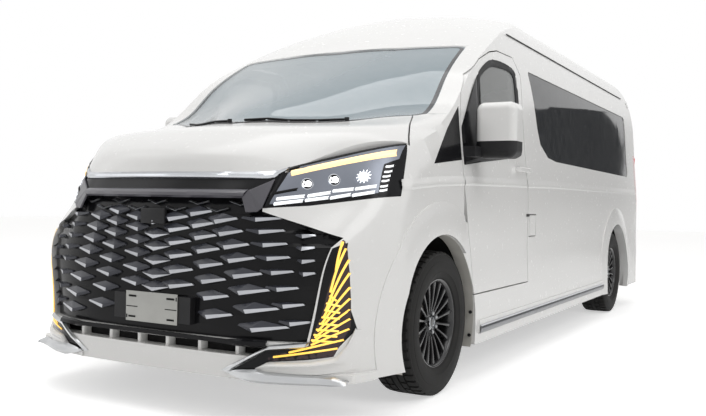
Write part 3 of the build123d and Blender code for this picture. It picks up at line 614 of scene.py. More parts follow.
def lipPoint(x, z, lift):
    # at the depth of the bumper a little outside the grille opening's edge
    across, up = reaches["lip"]
    return Vector((x / 1000, nosePoint(x + across, z + up, lift).y, z / 1000))


def flankPoint(y, z, lift):
    found = onFlank(y, z, lift) or nearBy(onFlank, y, z, lift)
    return Vector((found.x, frontAxle + y / 1000, z / 1000))


def doorSidePoint(y, z, lift):
    # level with the door's skin behind the place
    return Vector((flankPoint(y + reaches["doorSide"], z, lift).x, frontAxle + y / 1000, z / 1000))


def tailPoint(x, z, lift):
    # the point of the van's back, moved backwards by lift but never past the van's end
    for reach in reaches["tail"]:
        start = Vector(((x + reach) / 1000, tailEnd + 1, z / 1000))
        hit = tailTree.ray_cast(start, Vector((0, -1, 0)))[0]
        if hit:
            return Vector((x / 1000, min(hit.y + lift / 1000, tailEnd), z / 1000))
    return Vector((x / 1000, tailEnd, z / 1000))


def ribbon(name, rows, finish, thick):
    # a sheet through equally long rows of points, given some thickness inwards
    bpy.ops.mesh.primitive_grid_add(x_subdivisions=len(rows[0]) - 1, y_subdivisions=len(rows) - 1, size=2,
                                    location=(0, 0, 0))
    piece = named(name, finish)
    for vertex, point in zip(piece.data.vertices, [point for row in rows for point in row]):
        vertex.co = point
    modify(piece, "SOLIDIFY", thickness=thick, offset=-1, use_even_offset=True)
    return turnOut(piece)


def along(points, share):
    # the point at a share of the way along a line of points
    points = [Vector(point) for point in points]
    lengths = [(b - a).length for a, b in zip(points, points[1:])]
    left = share * sum(lengths)
    for start, end, length in zip(points, points[1:], lengths):
        if left <= length:
            return start.lerp(end, left / length)
        left -= length
    return points[-1]


def band(name, place, upper, lower, columns, lifts, finish, thick=3.0, degrees=30):
    # a strip between two lines on the body, standing off it by one lift for each of its rows
    rows = []
    for row, lift in enumerate(lifts):
        down = row / (len(lifts) - 1)
        rows.append([place(*along(upper, column / columns).lerp(along(lower, column / columns), down), lift)
                     for column in range(columns + 1)])
    return smooth(ribbon(name, rows, finish, thick / 1000), degrees)


def drawnIn(points, by, middle):
    # the outline with each point moved towards the middle
    middle = Vector(middle)
    return [tuple(Vector(point).lerp(middle, by / (Vector(point) - middle).length)) for point in points]


# Wheels: each is made at the front left and copied

wheelShape = {
    "width": 0.235, "radius": 0.356, "bead": 0.2178, "treadHalf": 0.092,
    "grooves": (-0.054, -0.018, 0.018, 0.054), "grooveWidth": 0.009, "grooveDepth": 0.007,
    "steps": 144, "spokes": 18, "rimWidth": 0.190, "hub": 0.062,
    "spokeWide": 0.0125, "spokeEnd": 0.021, "spokeFoot": 0.050, "spokeReach": 0.2035, "spokeDeep": 0.020,
    "spokeCuts": (0.075, 0.100, 0.125, 0.150, 0.172, 0.188), "bow": 0.017, "flare": 0.004, "waist": 0.30,
    "nut": {"sunk": 0.004, "long": 0.017, "radius": 0.0105, "inset": 0.0025, "tip": 0.003},
    "nuts": 6, "nutRing": 0.046, "disc": -0.020, "sipeDeep": 0.0055,
    # in from the side, with the distance out from the bead and in from the tread
    "wall": ((0.026, 0), (0.016, 0.006), (0.010, 0.018), (0.006, 0.030), (0.0022, 0.034), (0.0018, 0.040),
             (0.0003, 0.052), (0.0003, 0.070), (0.0025, 0.086), (0.0045, 0.088), (0.0060, 0.104)),
    "shoulder": ((0.0125, 0.020), (0.0110, 0.016), (0.0155, 0.0085)),
}


def makeTyre(size, middle):
    half, outer = size["width"] / 2, size["radius"] - 0.0002
    side = [(half - inward, size["bead"] + out) for inward, out in size["wall"]]
    side += [(half - inward, outer - down) for inward, down in size["shoulder"]]
    side.append((size["treadHalf"] + 0.004, outer - 0.0035))
    tread = []
    for groove in size["grooves"][::-1]:
        edge = size["grooveWidth"] / 2
        tread += [(groove + edge, outer - 0.0004), (groove + edge - 0.0015, outer - size["grooveDepth"]),
                  (groove - edge + 0.0015, outer - size["grooveDepth"]), (groove - edge, outer - 0.0004)]
    profile = side + tread + [(-across, out) for across, out in side[::-1]]
    profile += [(-half + 0.03, size["bead"] - 0.004), (half - 0.03, size["bead"] - 0.004)]
    tyre = spun("tyre", profile, middle, size["steps"], "rubber")
    pitch = 2 * math.pi / size["steps"]

    def sipe(centre, normal):
        # the faces of the tread between its grooves that become small cuts
        across = abs(centre.x - middle.x)
        out = math.hypot(centre.y - middle.y, centre.z - middle.z)
        step = round(math.atan2(centre.y - middle.y, centre.z - middle.z) / pitch - 0.5)
        if out < outer - 0.0125 or normal.normalized().x ** 2 > 0.8:
            return False
        if across > 0.062:
            return step % 3 == 0 and out > outer - 0.010
        return step % 4 == (1 if centre.x > middle.x else 3) and 0.024 < across < 0.05 and out > outer - 0.002

    pick(tyre, sipe)
    bpy.ops.mesh.extrude_region_shrink_fatten(TRANSFORM_OT_shrink_fatten={"value": -size["sipeDeep"]})
    return smooth(done(tyre), 28)


def makeSpoke(size, middle, face):
    # one spoke, drawn from the hub outwards, then bowed inwards towards the hub
    foot, reach, half = size["spokeFoot"], size["spokeReach"], size["spokeWide"] / 2
    spoke = blockAt("spoke", middle + Vector((face - size["spokeDeep"], -half, foot)),
                    middle + Vector((face, half, reach)))
    edit(spoke)
    for cut in size["spokeCuts"]:
        bpy.ops.mesh.select_all(action="SELECT")
        bpy.ops.mesh.bisect(plane_co=middle + Vector((0, 0, cut)), plane_no=(0, 0, 1))
    done(spoke)
    for vertex in spoke.data.vertices:
        share = (vertex.co.z - middle.z - foot) / (reach - foot)
        bow = size["bow"] * (1 - share) ** 2
        wide = 1 - size["waist"] * math.sin(math.pi * share)
        wide += (size["spokeEnd"] / size["spokeWide"] - 1) * share ** 3
        vertex.co.x += size["flare"] * share ** 4 - bow
        if vertex.co.x < middle.x + face - 0.008 - bow:
            wide *= 1.5
        vertex.co.y = middle.y + (vertex.co.y - middle.y) * wide
    return rounded(turnOut(spoke), 0.0022)


def makeNut(size, place):
    foot = place - Vector((size["sunk"], 0, 0))
    nut = barAt("nut", foot, foot + Vector((size["long"], 0, 0)), size["radius"], 6)
    pick(nut, lambda centre, normal: normal.x > 0.9)
    bpy.ops.mesh.inset(thickness=size["inset"])
    bpy.ops.mesh.extrude_region_move(TRANSFORM_OT_translate={"value": (size["tip"], 0, 0)})
    return rounded(done(nut), 0.0008)


def makeRim(size, middle):
    half = size["rimWidth"] / 2
    face = half - 0.016
    dish, disc = face - 0.017, size["disc"]
    lip = [(half, 0.2130), (half, 0.2168), (half - 0.006, 0.2172), (half - 0.014, 0.2100),
           (half - 0.030, 0.2060), (half - 0.060, 0.1960), (-half + 0.05, 0.1960), (-half + 0.02, 0.2090),
           (-half, 0.2170), (-half, 0.2120), (-half + 0.016, 0.2010), (-half + 0.045, 0.1915),
           (half - 0.065, 0.1915), (half - 0.034, 0.1985), (half - 0.012, 0.2020), (half - 0.0035, 0.2070)]
    cap = [(-0.034, 0.0305), (-0.034, size["hub"] - 0.004), (-0.010, size["hub"]),
           (-0.001, size["hub"] - 0.004), (-0.001, 0.0380), (-0.006, 0.0360), (-0.006, 0.0330),
           (0.004, 0.0310), (0.0065, 0.0270), (0.0075, 0.0100), (0.0078, 0.0004), (-0.030, 0.0004),
           (-0.030, 0.0305)]
    ring = [(0.0062, 0.0290), (0.0082, 0.0280), (0.0086, 0.0262), (0.0066, 0.0255)]
    plate = [(0, 0.064), (0, 0.1495), (-0.009, 0.1495), (-0.009, 0.146), (-0.015, 0.146), (-0.015, 0.1495),
             (-0.024, 0.1495), (-0.024, 0.0330), (-0.020, 0.0330), (-0.020, 0.064)]
    bell = [(disc - 0.020, 0.0330), (dish - 0.033, 0.0330), (dish - 0.033, 0.0610), (disc - 0.020, 0.0630)]
    shell = joined("rim", [
        spun("rimLip", lip, middle, 96), *ringCopies(makeSpoke(size, middle, face), size["spokes"], middle),
        spun("hubCap", [(dish + across, out) for across, out in cap], middle, 64)])
    paintOver(smooth(shell, 35), "rimBlack")
    nut = makeNut(size["nut"], middle + Vector((dish, 0, size["nutRing"])))
    nuts = joined("nuts", ringCopies(nut, size["nuts"], middle))
    paintOver(smooth(nuts), "satinSilver")
    turned = [spun("capRing", [(dish + across, out) for across, out in ring], middle, 48, "chrome"),
              spun("disc", [(disc + across, out) for across, out in plate], middle, 96, "castIron"),
              spun("bell", bell, middle, 64, "castIron")]
    return joined("rimSet", [nuts, *map(smooth, turned), shell])


wheels = {"tyre": makeTyre(wheelShape, wheelMiddle), "rim": makeRim(wheelShape, wheelMiddle)}
for corner in ("front_left", "front_right", "rear_left", "rear_right"):
    move = Matrix.Translation((0, rearAxle - frontAxle if "rear" in corner else 0, 0))
    for kind, made in wheels.items():
        node = f"{kind}_{corner}"
        stands(copied(made, acrossVan @ move if "right" in corner else move, node + "_made"), node)
only(*wheels.values())
bpy.ops.object.delete()
print("wheels")

# Nose: grille with its blades, bright strips, bumper details

grilleShape = {
    # for each column of blades: (middle, half width) at the top and at the bottom, the heights of its rows,
    # how far its blades reach up and down, and how far their ridge lies towards the middle
    "columns": (
        ((0, 70), (0, 100), (830, 768, 713, 651, 590, 535), 24, 22, 0),
        ((112, 71), (132, 100), (846, 797, 740, 682, 616, 552), 24, 20, 0.34),
        ((236, 72), (342, 94), (870, 819, 768, 711, 648, 583, 514, 437), 25, 21, 0.34),
        ((352, 72), (560, 112), (841, 789, 734, 678, 614, 548, 473, 398), 26, 22, 0.34),
        ((530, 84), (700, 62), (855, 804, 750, 695, 637, 570, 502, 430), 12, 13, 0.1),
        ((700, 40), (775, 26), (790, 740, 687, 636), 9, 10, 0.1),
    ),
    "levels": (860, 400),
    "accents": ((932, (0, 230, 440)), (903, (115, 335))),
    "lip": 17, "proud": 30, "tipProud": 7,
}


def bladeAt(x, z, half, crown, drop, lean, size):
    # two slopes above and a bright lip below, shaped on the grille and closed behind
    inward = -math.copysign(lean * half, x) if x else 0
    lip, proud, tip = size["lip"], size["proud"], size["tipProud"]
    corners = []
    for across, up, lift in (
            (-half, 0, tip), (inward * 0.8, -drop, proud), (half, 0, tip), (half * 0.90, lip * 0.45, tip + 3),
            (0, crown, tip + 1), (-half * 0.90, lip * 0.45, tip + 3), (inward, lip - drop, proud + 3)):
        corners.append(grillePoint(x + across, z + up, 0) - Vector((0, lift / 1000, 0)))
    ridge = corners.pop()
    blade = outlined("blade", corners, "bladeDark")
    blade.data.materials.append(finishes["bladeEdge"])
    edit(blade)
    bpy.ops.mesh.poke()
    bpy.ops.object.mode_set(mode="OBJECT")
    blade.data.vertices[-1].co = ridge
    # the bright faces: the lower and end ones away from the middle, and both lower ones on an even blade
    bright = [{1, 2}, {2, 3}] if x > 0 else [{0, 1}, {0, 5}] if x < 0 else [{0, 1}]
    if not lean:
        bright.append({1})
    for face in blade.data.polygons:
        if any(edge <= set(face.vertices) for edge in bright):
            face.material_index = 1
    edit(blade)
    bpy.ops.mesh.extrude_region_move(TRANSFORM_OT_translate={"value": (0, proud / 1000 + 0.004, 0)})
    return done(blade)


def sidesOf(x):
    # a blade off the centre line is made on both sides of it
    return (1, -1) if x else (1,)


def makeGrille(size):
    high, low = size["levels"]
    blades = []
    for top, bottom, heights, crown, drop, lean in size["columns"]:
        for z in heights:
            down = (high - z) / (high - low)
            x, half = (first + (last - first) * down for first, last in zip(top, bottom))
            blades += [bladeAt(side * x, z + drop, half, crown, drop, lean, size) for side in sidesOf(top[0])]
    for z, places in size["accents"]:
        for x, side in [(x, side) for x in places for side in sidesOf(x)]:
            upper = [(side * x + across, z + up) for across, up in ((-52, 9), (0, -5), (52, 9))]
            lower = [(x, z - 5) for x, z in upper]
            blades.append(band("accent", grillePoint, upper, lower, 8, (6, 10, 12, 6), "bladeEdge"))
    grille = joined("grilleBlades", blades)
    return smooth(rounded(grille, 0.0007, 1, 20), 20)


def makeGrillePlate():
    # the grille without its plain bars, which the blades stand for
    plate = paintOver(mergedCopy("grille", "grillePlate"), "glossBlack")
    for vertex in plate.data.vertices:
        place = platePoint(vertex.co.x * 1000, vertex.co.z * 1000, 0)
        if place and vertex.co.y < place.y - 0.003:
            vertex.co.y = place.y
    edit(plate)
    bpy.ops.mesh.dissolve_degenerate(threshold=0.0001)
    bpy.ops.mesh.remove_doubles(threshold=0.0002)
    return stands(smooth(done(plate)), "grille")


makeGrillePlate()
rides(makeGrille(grilleShape), "root", "black_plastic", "grille")
print("grille")


def bothWays(line):
    # the same line continued over the centre line
    return [(-x, z) for x, z in line[:0:-1]] + line


grilleLip = [(562, 900), (640, 872), (760, 836), (836, 802), (862, 775)]
noseShape = {
    # slot, then place, upper line, lower line, columns, lifts, finish, thickness and, if not 30, edge angle
    "chromeStrip": ("rim", nosePoint, bothWays([(0, 1063), (470, 1063), (560, 1069), (600, 1087)]),
                    bothWays([(0, 1037), (470, 1037), (548, 1038), (596, 1078)]),
                    64, (2, 9, 12, 12, 8, 1), "chrome"),
    "frameBar": ("black_plastic", nosePoint, [(-474, 984), (0, 984), (474, 984)],
                 [(-460, 957), (0, 957), (460, 957)], 48, (1, 14, 17, 15, 3), "frameDark", 6),
    "lowBar": ("black_plastic", lowPoint, [(-600, 364), (600, 364)], [(-600, 346), (600, 346)],
               48, (4, 14, 16, 4), "glossBlack", 8),
    "intakeBack": ("black_plastic", nosePoint, [(-690, 350), (690, 350)], [(-690, 294), (690, 294)],
                   32, (-64, -64), "linerBlack", 3),
}
nosePairs = {
    "openingLips": ("body_paint", lipPoint, grilleLip, [(x + 4, z + 9) for x, z in grilleLip],
                    48, (1, 5, 5, 1), "paint", 4),
    "lowerBlades": ("rim", lowPoint, [(756, 369), (612, 352), (392, 232)],
                    [(742, 343), (600, 328), (420, 224)], 40, (4, 16, 19, 17, 5), "satinSilver", 8),
    "lowerRecesses": ("black_plastic", nosePoint, [(748, 344), (604, 330), (424, 226)],
                      [(834, 306), (757, 295), (600, 281), (566, 259), (548, 246), (440, 230)],
                      32, (1, 1, 1, 1, 1, 1), "glossBlack", 3),
    "bumperSteps": ("body_paint", nosePoint,
                    [(890, 420), (870, 352), (838, 300), (758, 287), (600, 279), (562, 258)],
                    [(925, 400), (912, 330), (905, 250), (800, 236), (640, 236), (566, 246)],
                    48, (4, 20, 24, 12, 6, 4, 6, 8), "paint", 5, 50),
    "footStrips": ("rim", lowPoint, [(428, 229), (487, 237), (562, 244), (600, 236), (856, 223), (905, 207)],
                   [(432, 226), (477, 212), (558, 202), (700, 201), (846, 199), (900, 205)],
                   48, (6, 20, 24, 25, 14), "satinSilver", 8),
}
earShape = {"edge": [(456, 958), (486, 893), (534, 896), (551, 914), (566, 1034), (476, 984)], "lift": 10,
            "thick": 0.010}


def makeEars(size):
    # a flat-edged plate at each end of the bar above the grille
    ear = outlined("ear", [nosePoint(x, z, size["lift"]) for x, z in size["edge"]], "frameDark")
    edit(ear)
    bpy.ops.mesh.quads_convert_to_tris()
    modify(done(ear), "SOLIDIFY", thickness=size["thick"], offset=0)
    pair("frameEars", rounded(turnOut(ear), 0.003, 3), "black_plastic")


for name, (slot, *values) in noseShape.items():
    rides(band(name, *values), "root", slot)
for name, (slot, *values) in nosePairs.items():
    pair(name, band(name, *values), slot)
makeEars(earShape)

plateShape = {
    "bracketFront": -1010.6, "plate": ((-148, 396), (154, 530)), "thick": 3,
    "slots": ((-131, -86, 503, 512), (-144, -78, 459, 463), (-131, -90, 412, 420), (-145, -139, 408, 424),
              (92, 137, 503, 512), (84, 150, 459, 463), (95, 137, 412, 420), (145, 151, 500, 516)),
    "sensor": ((-70, 834), (70, 903)), "posts": (83, 262, 455), "postHeights": (296, 350), "postHalf": 0.009,
    "postSet": 16,      # how far a post's face lies behind the bumper's surface
}


def makePlate(size):
    (left, low), (right, high) = size["plate"]
    thick = size["thick"]
    front = size["bracketFront"] + thick + 1
    holder = bpy.data.objects["plate_holder_smooth"]
    pick(holder, lambda middle, normal: middle.y < at(0, front, 0).y)
    bpy.ops.transform.translate(value=(0, (thick + 1.4) / 1000, 0))
    done(holder)
    plate = blockAt("blankPlate", at(left, front - thick, low), at(right, front, high), "plateGrey")
    rides(smooth(rounded(plate, 0.001)), "root", "dark_steel")
    slots = [blockAt("slot", at(left, front - thick - 0.8, low), at(right, front - 1, high), "linerBlack")
             for left, right, low, high in size["slots"]]
    rides(joined("plateSlots", slots), "root", "black_plastic")


def makeSensorCover(size):
    (left, low), (right, high) = size["sensor"]
    depth = nosePoint(0, (low + high) / 2, 0, grilleTree).y
    cover = blockAt("sensorCover", (left / 1000, noseEnd, low / 1000),
                    (right / 1000, depth + 0.012, high / 1000), "trimBlack")
    rides(smooth(rounded(cover, 0.005, 3)), "root", "black_plastic")


def makePosts(size):
    # upright bars across the lower intake
    half, posts = size["postHalf"], []
    for x in [side * x for x in size["posts"] for side in (1, -1)]:
        foot, head = (nosePoint(x, z, -size["postSet"]) for z in size["postHeights"])
        posts.append(blockAt("post", foot - Vector((half, 0, 0)), (foot.x + half, foot.y + 0.05, head.z),
                             "paint"))
    rides(smooth(rounded(joined("intakePosts", posts), 0.003)), "root", "body_paint")


makePlate(plateShape)
makeSensorCover(plateShape)
makePosts(plateShape)
print("nose")

# Headlamps and the fans of light beside the grille

lampShape = {
    # upper line, lower line, columns, lifts, finish
    "inside": ([(606, 1078), (770, 1143), (928, 1206)], [(568, 928), (780, 958), (930, 990)], 28, (0.6,) * 8,
               "lampGrey"),
    "amber": ([(612, 1072), (770, 1130), (916, 1182)], [(617, 1050), (770, 1104), (921, 1152)], 24,
              (2, 7, 9, 7, 2), "amberLight"),
    "edges": (
        ([(600, 1085), (764, 1151), (926, 1214)], [(602, 1078), (764, 1143), (927, 1205)], 24, (1, 5, 5, 1),
         "trimBlack"),
        ([(578, 1078), (552, 917)], [(592, 1084), (569, 918)], 12, (3, 9, 9, 3), "glossBlack"),
        ([(576, 979), (652, 999)], [(574, 969), (650, 989)], 8, (2, 7, 7, 2), "linerBlack"),
        ([(896, 1112), (929, 1140)], [(908, 976), (941, 980)], 8, (1, 4, 4, 4, 1), "glossBlack")),
    "bars": (((591, 951), (680, 965)), ((689, 966), (756, 983)), ((761, 989), (826, 1000)),
             ((831, 1000), (896, 1015)), ((587, 930), (679, 946)), ((686, 947), (754, 961)),
             ((760, 959), (821, 976)), ((827, 972), (896, 989))),
    "barHalf": 6,
    "ticks": ((916, 1101), (917, 1077), (917, 1056), (918, 1036), (919, 1012), (921, 994)),
    "tickTop": ((-12, 5), (-2, 6), (7, 11)), "tickHigh": 8,
    "projectors": ((675, 1017, 19), (755, 1037, 20)),
    "star": (846, 1053, 21), "rays": 12, "rayReach": (-2, 12),
}


def lampFrame(x, z, lift):
    # a place on the lamp with the directions across it, up it and out of it
    across = (nosePoint(x + 8, z, 0) - nosePoint(x - 8, z, 0)).normalized()
    upward = (nosePoint(x, z + 8, 0) - nosePoint(x, z - 8, 0)).normalized()
    out = across.cross(upward).normalized()
    return nosePoint(x, z, 0) + out * lift / 1000, across, upward, out


def disc(name, x, z, radius, front, depth, finish, sides=32):
    # a short cylinder whose face stands off the lamp by front
    face, across, upward, out = lampFrame(x, z, front)
    return barAt(name, face, face - out * depth / 1000, radius / 1000, sides, finish)


def strip(upper, lower, columns, lifts, finish):
    return band("strip", nosePoint, upper, lower, columns, lifts, finish, 2)


def shifted(points, across, up):
    return [(x + across, z + up) for x, z in points]


def makeLampStrips(size):
    pair("lampInsides", strip(*size["inside"]), "lamp")
    pair("amberBars", strip(*size["amber"]), "lamp")
    pair("lampEdges", joined("edges", [strip(*values) for values in size["edges"]]), "black_plastic")
    half = size["barHalf"]
    bars = [strip(shifted(ends, 0, half), shifted(ends, 0, -half), 8, (2, 7, 7, 2), "whiteBar")
            for ends in size["bars"]]
    for x, z in size["ticks"]:
        upper = shifted(size["tickTop"], x, z)
        bars.append(strip(upper, shifted(upper, 0, -size["tickHigh"]), 6, (4, 8, 8, 4), "whiteBar"))
    pair("lampBars", joined("bars", bars), "lamp")


def makeProjectors(size):
    rings, lights = [], []
    for x, z, radius in size["projectors"]:
        rings += [disc("ring", x, z, radius + 7, 3, 6, "chrome"),
                  disc("shade", x, z, radius + 3, 5, 6, "linerBlack")]
        lights.append(disc("lens", x + 3, z - 1, radius * 0.72, 9, 8, "whiteLight"))
        face, across, upward, out = lampFrame(x, z, 10)
        corner = face - (across * 0.9 + upward * 0.7) * radius / 1000
        lights += [barAt("glow", corner, corner + reach * radius / 1000, 0.0026, 8, "whiteLight")
                   for reach in (across * 0.8, upward * 1.2)]
    x, z, radius = size["star"]
    rings.append(disc("bowl", x, z, radius + 5, 3, 6, "chrome", 8))
    lights.append(disc("lens", x, z, radius * 0.62, 8, 8, "whiteLight"))
    middle, across, upward, out = lampFrame(x, z, 9)
    for turn in range(size["rays"]):
        angle = math.pi * turn / size["rays"]
        reach = across * math.cos(angle) + upward * math.sin(angle)
        reach *= (radius + size["rayReach"][turn % 2]) / 1000
        lights.append(barAt("ray", middle - reach, middle + reach, 0.0014, 6, "whiteLight"))
    pair("projectorRings", rounded(joined("rings", rings), 0.001), "rim")
    pair("projectorLights", smooth(rounded(joined("lights", lights), 0.0012)), "lamp")


makeLampStrips(lampShape)
makeProjectors(lampShape)

fanShape = {
    "innerEdge": [(850, 788), (838, 659), (817, 573), (799, 490), (774, 416), (752, 350), (600, 300)],
    "outerEdge": [(858, 782), (870, 740), (878, 653), (879, 543), (877, 424), (834, 307), (610, 285)],
    "starts": ((852, 780), (864, 752), (875, 705), (878, 651), (878, 592), (877, 545), (876, 499), (876, 460),
               (874, 418), (860, 374), (844, 340)),
    "ends": ((844, 663), (826, 573), (811, 503), (803, 472), (794, 440), (783, 412), (774, 386), (766, 369),
             (762, 356), (684, 324), (625, 303)),
    "crossings": (((824, 560), (842, 537)), ((812, 528), (851, 514)), ((806, 500), (850, 486)),
                  ((796, 470), (849, 462)), ((788, 444), (848, 434)), ((778, 420), (846, 410)),
                  ((770, 398), (842, 388)), ((762, 376), (836, 366))),
    "lineHalf": 2.8,
}


def makeFan(size):
    pair("fanLenses", strip(size["innerEdge"], size["outerEdge"], 60, (1, 1, 1, 1), "maroonLens"), "red_lamp")
    lines = []
    for start, end in [*zip(size["starts"], size["ends"]), *size["crossings"]]:
        way = (Vector(end) - Vector(start)).normalized() * size["lineHalf"]
        ends = (start, end)
        lines.append(strip(shifted(ends, -way.y, way.x), shifted(ends, way.y, -way.x), 10, (2, 5, 2),
                           "goldLight"))
    pair("fanLines", joined("lines", lines), "lamp")


makeFan(fanShape)
print("lamps")

# Windscreen border, wipers, door windows with their seals, mirrors

screenShape = {
    "edge": [(0, -425), (295, -330), (511, -176), (700, -62), (796, -2), (832, 47), (808, 332), (777, 686),
             (740, 684), (400, 600), (0, 574)],
    "middle": (0, 150), "frame": 24, "wipers": ((-60, -560), (500, 30)), "behind": 10, "sweep": 14,
    "pivotRadius": 0.012, "armRadius": 0.0045, "bladeRadius": 0.003,
}


def screenPoint(x, y, lift):
    # the point of the windscreen below x and y, moved upwards by lift; the nearest one inside past its edge
    for share in (0, 0.01, 0.02, 0.035, 0.05, 0.08, 0.12):
        spot = Vector((x, y)).lerp(Vector(screenShape["middle"]), share)
        top = Vector((spot.x / 1000, frontAxle + spot.y / 1000, 4))
        place, normal = screenTree.ray_cast(top, Vector((0, 0, -1)))[:2]
        if place:
            return place + normal * (lift / 1000 if normal.z > 0 else -lift / 1000)
    return top


def basePoint(edge, x, back, lift):
    # a point behind the lower edge of the glass
    (x0, y0), (x1, y1) = sorted(edge[:6], key=lambda spot: abs(spot[0] - abs(x)))[:2]
    return screenPoint(x, y0 + (y1 - y0) * (abs(x) - x0) / (x1 - x0) + back, lift)


def makeScreen(size):
    edge, middle = size["edge"], size["middle"]
    outer = edge + [(-x, y) for x, y in edge[-2:0:-1]] + edge[:1]
    frit = band("screenFrit", screenPoint, drawnIn(outer, 2, middle), drawnIn(outer, size["frame"], middle),
                160, (0.6, 1.2, 1.2, 0.8), "fritBlack", 1.5)
    rides(frit, "root", "black_plastic")
    wipers, below = [], Vector((0, 0, 0.005))
    for pivot, tip in size["wipers"]:
        foot = basePoint(edge, pivot, 8, 6)
        wipers.append(barAt("pivot", foot - 3 * below, foot + Vector((0, 0, 0.012)), size["pivotRadius"], 16,
                            "trimBlack"))
        spots = [basePoint(edge, pivot + (tip - pivot) * share, size["behind"] + size["sweep"] * share, 10)
                 for share in (0, 0.25, 0.5, 0.75, 1)]
        for start, end in zip(spots, spots[1:]):
            wipers.append(barAt("arm", start, end, size["armRadius"], 8, "trimBlack"))
            wipers.append(barAt("blade", start.lerp(end, 0.1) - below, end - below, size["bladeRadius"], 8,
                                "linerBlack"))
    rides(smooth(joined("wipers", wipers)), "root", "black_plastic")


makeScreen(screenShape)
print("screen")

windowShape = {
    "window": [(500, 1206), (733, 1225), (1150, 1262), (1212, 1330), (1212, 1730), (1150, 1790), (800, 1788),
               (640, 1730), (500, 1640), (500, 1206)],
    "middle": (870, 1510), "seal": 36, "sealOver": 6, "bar": (556, 1212, 1668), "barHalf": 9,
    "sail": ([(424, 1560), (330, 1440), (252, 1345), (252, 1150)],
             [(498, 1636), (498, 1500), (498, 1300), (498, 1176)]),
    "belt": ([(262, 1148), (500, 1174), (733, 1196), (1150, 1236), (1208, 1250)],
             [(262, 1172), (500, 1208), (733, 1228), (1150, 1264), (1204, 1286)]),
}


def softened(points):
    # a closed outline with its corners cut twice
    for cut in range(2):
        ends = list(zip(points, points[1:]))
        points = [tuple(Vector(start).lerp(Vector(end), share))
                  for start, end in ends for share in (0.25, 0.75)]
        points.append(points[0])
    return points


def makeDoorWindow(size):
    edge, (y, low, high) = softened(size["window"]), size["bar"]
    outer, inner = (drawnIn(edge, by, size["middle"]) for by in (-size["sealOver"], size["seal"]))
    left, right = ([(y + side * size["barHalf"], z) for z in (low, high)] for side in (-1, 1))
    seals = [band("bar", flankPoint, left, right, 24, (2, 4, 4, 2), "trimBlack"),
             band("belt", flankPoint, *size["belt"], 60, (1, 6, 7, 6, 2), "trimBlack"),
             band("seal", flankPoint, outer, inner, 120, (3, 6, 6, 3), "trimBlack")]
    perSide("doorSeals", joined("doorSeals", seals), "black_plastic", "door")
    sail = band("sail", flankPoint, *size["sail"], 40, (4, 6, 6, 6, 6, 6, 6, 4), "glossBlack")
    perSide("sail", sail, "black_plastic", "door")


makeDoorWindow(windowShape)

mirrorShape = {"blackTop": 1.276, "innerEdge": 0.985, "glass": ((1.000, 1.178), (1.245, 1.462))}


def makeMirrors(size):
    for node in ("mirror_left", "mirror_right"):
        cap = bpy.data.objects[node + "_smooth"]
        cap.data.materials.append(finishes["trimBlack"])
        edit(cap)
        bpy.ops.mesh.bisect(plane_co=(0, 0, size["blackTop"]), plane_no=(0, 0, 1))
        done(cap)
        for face in cap.data.polygons:
            if face.center.z < size["blackTop"] or abs(face.center.x) < size["innerEdge"]:
                face.material_index = 1
    (left, right), (low, high) = size["glass"]
    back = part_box("mirror_left")[1].y
    glass = blockAt("glass", (left, back - 0.002, low), (right, back + 0.0025, high), "chrome")
    perSide("mirrorGlass", smooth(rounded(glass, 0.02, 4, 80)), "lamp", "door")


makeMirrors(mirrorShape)
print("windows")

# Strips, gutters, clips and the wheel openings' edges

sideShape = {
    # slot, then upper line, lower line, columns, lifts and finish of each strip
    "runningStrips": ("rim", ([(430, 292), (3313, 292)], [(430, 256), (3313, 256)], 120, (1, 5, 6, 5, 1),
                              "darkChrome"),
                      ([(430, 298), (3313, 298)], [(430, 291), (3313, 291)], 120, (3, 7, 3), "chrome")),
    "roofGutters": ("black_plastic", ([(1180, 2011), (4560, 2011)], [(1180, 2005), (4560, 2005)], 120,
                                      (0.5, 1.5, 0.5), "trimBlack")),
}
slotShape = {"lines": ([(1259, 890), (1413, 890)], [(1259, 874), (1413, 874)]), "lifts": (0.5, 2, 2, 0.5),
             "edge": 0.002}
for name, (slot, *strips) in sideShape.items():
    pair(name, joined("strips", [band("strip", flankPoint, *values) for values in strips]), slot)
slots = band("slot", flankPoint, *slotShape["lines"], 12, slotShape["lifts"], "trimBlack")
pair("sideSlots", rounded(slots, slotShape["edge"], 1), "black_plastic")

creaseShape = {
    "line": [(-500, 997), (-100, 1026), (319, 1043), (2041, 1064), (4840, 1070)], "high": 50,
    "parts": (("creaseFender", -470, 226), ("creaseDoor", 246, 1282), ("creaseRear", 1296, 4800)),
    "lifts": (0.2, 0.9, 1.8, 2.7, 3.4, 3.0, 0.2),
}


def heightAt(line, y):
    for (y0, z0), (y1, z1) in zip(line, line[1:]):
        if y <= y1:
            return z0 + (z1 - z0) * (y - y0) / (y1 - y0)
    return line[-1][1]


def makeCreases(size):
    # the shoulder line, a soft ridge along each flank
    for name, start, end in size["parts"]:
        spots = [start + (end - start) * step / 12 for step in range(13)]
        lower = [(y, heightAt(size["line"], y)) for y in spots]
        upper = shifted(lower, 0, size["high"])
        ridge = band(name, flankPoint, upper, lower, 80, size["lifts"], "paint", 1.5, 60)
        if name == "creaseDoor":
            perSide(name, ridge, "body_paint", "door")
        else:
            pair(name, ridge, "body_paint")


makeCreases(creaseShape)

archShape = {
    "middle": (-55, 356), "radius": 440, "from": -22, "to": 203, "depths": (972, 950, 925, 905),
    "front": (68, 16), "tail": [(81, 851), (279, 851), (329, 704), (368, 480)],
    "screws": (2, -14), "screwSet": 14, "screwIn": 3, "screwRadius": 0.009,
}


